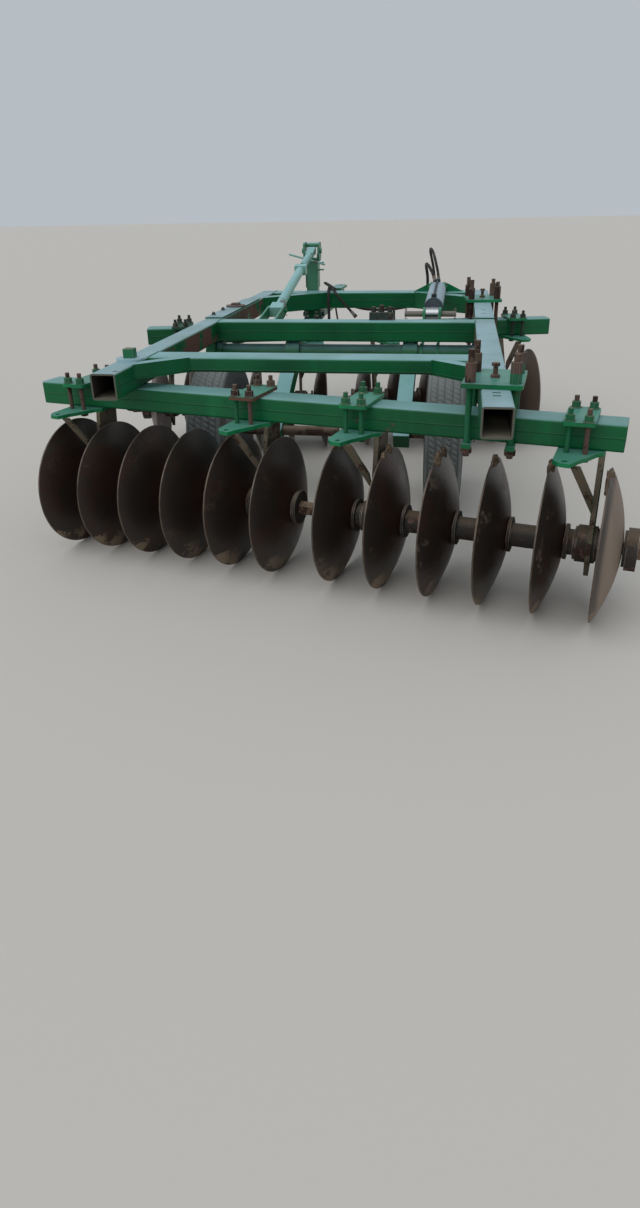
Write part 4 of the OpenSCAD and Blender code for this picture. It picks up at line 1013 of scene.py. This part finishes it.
# %% Tyres
CUTS, CUT_DEPTH, CUT_HALF, LEAN = 84, 0.005, 0.0013, 0.55
TREAD_INSIDE = 0.38
RIBS = [(0.008, 0.034, 0.0), (0.046, 0.073, 0.0015)]  # from, to, how much lower the rib lies
SIDE_WALL = [
    (0.081, 0.3955), (0.088, 0.3915), (0.0935, 0.3855), (0.0975, 0.374), (0.0975, 0.371), (0.0992, 0.366),
    (0.1012, 0.352), (0.1030, 0.335), (0.1044, 0.318), (0.1044, 0.305), (0.1050, 0.302), (0.1044, 0.299),
    (0.1020, 0.280), (0.0985, 0.264), (0.0930, 0.250), (0.0900, 0.246), (0.0850, 0.238), (0.0770, 0.231),
    (0.0760, 0.218), (0.0756, 0.2105)]


def tyre_section():
    """(x, radius, is it a rib) from the middle out to the bead, for one half."""
    half = [(0.0, 0.392, False), (0.0055, 0.392, False)]
    for start, end, drop in RIBS:
        half += [(start - 0.001, 0.3925, False), (start, 0.3985 - drop, True),
                 (start + 0.002, 0.3998 - drop, True), ((start + end) / 2, 0.3998 - drop, True),
                 (end - 0.002, 0.3996 - drop, True), (end, 0.3984 - drop, True),
                 (end + 0.001, 0.3922 - drop, False), (end + 0.005, 0.392 - drop, False)]
    return half + [(x, radius, False) for x, radius in SIDE_WALL]


def tyre_ring(hub, section, angle, cut):
    """One line of points across the tyre, leaning in the tread."""
    ring = []
    for x, radius, rib in section:
        lean = x * LEAN / TYRE_RADIUS if radius > TREAD_INSIDE else 0.0
        reach = radius - (CUT_DEPTH if rib and cut else 0.0)
        ring.append(hub + Vector((x, reach * math.cos(angle + lean), reach * math.sin(angle + lean))))
    return ring


def tyre(label):
    hub = middle_of(label + "_tyre")
    half = tyre_section()
    section = [(-x, radius, rib) for x, radius, rib in reversed(half)] + half[1:]
    period = 2 * math.pi / CUTS
    turn = CUT_HALF / TYRE_RADIUS
    rings = [tyre_ring(hub, section, k * period + offset, cut) for k in range(CUTS)
             for offset, cut in ((-turn, False), (0.0, True), (turn, False), (period / 2, False))]
    sides = len(section)
    points = [p for ring in rings for p in ring]
    faces = []
    for k in range(len(rings)):
        here, there = k * sides, (k + 1) % len(rings) * sides
        for i in range(sides):
            j = (i + 1) % sides
            faces.append((here + i, here + j, there + j, there + i))
    made = piece(label + "_ribbed_tyre", points, faces, label + "_wheel", "tyre_rubber", tyre_rubber)
    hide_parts(label + "_tyre")
    print(label, "tyre", len(faces), "faces")


for label in ("left", "right"):
    tyre(label)

# %% [markdown]
# The discs carry dry soil from their last run: lumps stuck along the rim, most of them on the rear right
# gang. A lump is a small ball whose points are pushed in and out by noise and pressed flat against the
# disc. It sits on a rim point of the disc's own mesh, so it touches steel.

# %% A lump of soil and the discs' rims
RIM_FROM, HALF_SPACING = 0.315, 0.115
SWELL, WIDE_SWELL, FINE_SWELL = 0.75, (1.7, 0.5), (5.0, 0.22)  # the last two as scale and height
FLATTENED = 0.62


def lump(centre, flat_axis, size, seed):
    ball = bmesh.new()
    bmesh.ops.create_icosphere(ball, subdivisions=3, radius=1.0)
    points = []
    for vertex in ball.verts:
        swell = SWELL + WIDE_SWELL[1] * noise.noise(vertex.co * WIDE_SWELL[0] + Vector((seed, 0, 0)))
        swell += FINE_SWELL[1] * noise.noise(vertex.co * FINE_SWELL[0] + Vector((0, seed, 0)))
        offset = vertex.co * swell * size
        offset -= flat_axis * offset.dot(flat_axis) * FLATTENED
        points.append(centre + offset)
    faces = [tuple(v.index for v in face.verts) for face in ball.faces]
    ball.free()
    return points, faces


def off_line(vector, axis):
    """What is left of a vector beside an axis."""
    return vector - axis * vector.dot(axis)


def disc_rims(gang):
    """For each disc of a gang from left to right, its mesh's rim points, as seen at rest."""
    point, axis = axles[gang]["point"], axles[gang]["axis"]
    rims = {}
    for vertex in frame["nodes"][gang + "_discs"].data.vertices:
        away = vertex.co - point
        if off_line(away, axis).length > RIM_FROM:
            rims.setdefault(round(away.dot(axis) / HALF_SPACING), []).append(vertex.co.copy())
    return [rims[key] for key in sorted(rims)]


soil_finish = Finish("dry soil", shade(104, 86, 68), 0.95)
soil_finish.coat(soil_finish.patches(scale=30.0, cover=0.5), shade(132, 114, 94), roughness=0.95)
soil_finish.coat(soil_finish.patches(scale=60.0, cover=0.4), shade(66, 50, 38), roughness=0.95)
soil_finish.grain(scale=60.0, cover=0.4, distance=0.002)
print("rear left gang", len(disc_rims("rear_left")), "discs")

# %% [markdown]
# A rim point is chosen by aiming from the axle at a random angle near the top and taking the nearest point
# of the mesh. Every disc has its own seeded draws, so the soil lies the same way in each run.

# %% Lumps of soil on the discs
# columns: gang, lumps on a disc, their greatest size in metres, how far round from the top they may lie
SOIL = [("rear_right", 12, 0.042, 0.20), ("rear_left", 4, 0.012, 2.2), ("front_right", 5, 0.022, 0.6),
        ("front_left", 3, 0.014, 1.2)]
AIM, DEEPEST, SMALLEST = 0.3, 0.05, 0.4  # aiming radius, furthest from the rim, least share of the size


def soil_on(gang, index, rim, k, size, spread):
    """Lump number k on a disc of a gang."""
    point, axis = axles[gang]["point"], axles[gang]["axis"]
    chance = random.Random(index * 31 + k)
    angle = spread * (chance.random() - 0.5) * 2
    want = point + Vector((0, AIM * math.sin(angle), AIM * math.cos(angle)))
    spot = min(rim, key=lambda p: off_line(p - want, axis).length)
    inward = off_line(point - spot, axis).normalized()
    centre = spot + inward * chance.uniform(0.0, DEEPEST)
    return lump(centre, axis, size * chance.uniform(SMALLEST, 1.0), index * 10 + k)


for gang, count, size, spread in SOIL:
    parts = [soil_on(gang, index, rim, k, size, spread)
             for index, rim in enumerate(disc_rims(gang)) for k in range(count)]
    piece(gang + "_soil", *joined(parts), gang + "_gang", "rusty_steel", soil_finish)
    print(gang, "lumps", len(parts))

# %% [markdown]
# Split pins keep the clevis pins in, and a grease nipple sits on each bearing of the rockshaft. They are
# small, but a mechanic looks for them first. A split pin is a bent wire with an eye. A nipple is a turned
# piece on a six-sided foot.

# %% Split pins and grease nipples
WIRE, PIN_ABOVE, PIN_BELOW = 0.0022, 0.022, 0.024
EYE_MIDDLE, EYE_RADIUS = 0.028, 0.006
LEGS = [(0.034, 0.010), (0.033, -0.008)]  # how far each leg reaches down and spreads
NIPPLE_FOOT = [(0.0065, -0.001), (0.0065, 0.006)]
NIPPLE = [(0.004, 0.006), (0.003, 0.009), (0.0044, 0.012), (0.0036, 0.016), (0.001, 0.017)]


def split_pin(centre, axis, through):
    """A wire with a round eye above the pin and two spread legs below it."""
    eye = [centre + through * (EYE_MIDDLE + EYE_RADIUS * math.sin(a)) + axis * EYE_RADIUS * math.cos(a)
           for a in (math.radians(d) for d in range(-90, 271, 30))]
    legs = [[centre + through * PIN_ABOVE, centre - through * PIN_BELOW,
             centre - through * down + axis * aside] for down, aside in LEGS]
    return [skin(rings_along(path, WIRE, 6)) for path in [eye] + legs]


def nipple(foot, axis):
    return [turned(NIPPLE_FOOT, foot, axis, 6), turned(NIPPLE, foot, axis, 12)]


ACROSS, UPWARD = Vector((1, 0, 0)), Vector((0, 0, 1))
DRAWBAR_X, DRAWBAR_PIN, LINK_LOW = -0.512, (3.520, 0.742), (2.080, 0.950)
# columns: name, body, places (x, y, z) of the split pins
SPLIT_PINS = [
    ("frame_split_pins", "frame",
     [(CYLINDER_X + LUG_X + 0.016, *BASE_PIN), (DRAWBAR_X + 0.062, *LINK_LOW),
      (DRAWBAR_X + 0.084, *DRAWBAR_PIN)]),
    ("lever_split_pins", "rockshaft",
     [(CYLINDER_X + LUG_X + 0.096, *LEVER_PIN), (CYLINDER_X - LUG_X - 0.118, *LEVER_PIN)])]
for name, body, places in SPLIT_PINS:
    wires = [wire for place in places for wire in split_pin(at(*place), ACROSS, UPWARD)]
    piece(name, *joined(wires), body, "bare_steel", pin_steel)
    print(name, len(places))

ROCKSHAFT, BEARING_REACH = (1.722, 0.735), 0.084
nipples = []
for side in (-1, 1):
    nipples += nipple(at(side * RAIL_X, ROCKSHAFT[0] - BEARING_REACH, ROCKSHAFT[1]), (0, -1, 0))
piece("grease_nipples", *joined(nipples), "frame", "bare_steel", pin_steel, smooth=False)
print("grease nipples", len(nipples) // 2)

# %% [markdown]
# Two small bolts stand on the left rail's top, between the rear tube and the front beam's pivot. Each has a
# flat washer and a six-sided head.

# %% Small bolts on the left rail
SMALL_BOLTS = [(-0.897, 2.118, 0.950), (-0.893, 1.879, 0.950)]
WASHER_RADIUS, WASHER_HEIGHT = 0.016, 0.003
SMALL_HEAD = (0.022, 0.012)  # width and height
small = []
for place in SMALL_BOLTS:
    small.append(turned([(WASHER_RADIUS, 0), (WASHER_RADIUS, WASHER_HEIGHT)], at(*place), UPWARD))
    small += nut(at(*place) + UPWARD * WASHER_HEIGHT, UPWARD, *SMALL_HEAD)
piece("small_rail_bolts", *joined(small), "frame", "rusty_steel", hanger_stud_steel, smooth=False)
print("small bolts", len(SMALL_BOLTS))

# %% [markdown]
# The floor is plain and pale, and the light is that of a bright, overcast day: a white sky that lights from
# everywhere, and a sun so wide and soft that it only gives the shadows a side. A hard lamp would put glints
# on the paint that the real one doesn't have.

# %% Floor and light
FLOOR_REACH = 60.0
SKY_STRENGTH, SUN_STRENGTH, SUN_SPREAD = 0.62, 1.15, 70
SUN_TURN = (28, -24, 0)

floor_mesh = bpy.data.meshes.new("floor")
floor_corners = [(x * FLOOR_REACH, y * FLOOR_REACH, 0) for x, y in ((-1, -1), (1, -1), (1, 1), (-1, 1))]
floor_mesh.from_pydata(floor_corners, [], [(0, 1, 2, 3)])
floor = bpy.data.objects.new("floor", floor_mesh)
bpy.context.scene.collection.objects.link(floor)
floor_mesh.materials.append(Finish("pale floor", shade(206, 200, 192), 0.9).material)

world = bpy.data.worlds.new("overcast sky")
world.use_nodes = True
sky = world.node_tree.nodes["Background"]
sky.inputs["Color"].default_value = shade(226, 234, 242)
sky.inputs["Strength"].default_value = SKY_STRENGTH
bpy.context.scene.world = world
bpy.context.scene.view_settings.view_transform = "Standard"

lamp = bpy.data.lights.new("high light", "SUN")
lamp.energy = SUN_STRENGTH
lamp.angle = math.radians(SUN_SPREAD)
sun = bpy.data.objects.new("high light", lamp)
sun.rotation_euler = [math.radians(a) for a in SUN_TURN]
bpy.context.scene.collection.objects.link(sun)
print("sky", SKY_STRENGTH, "sun", SUN_STRENGTH)
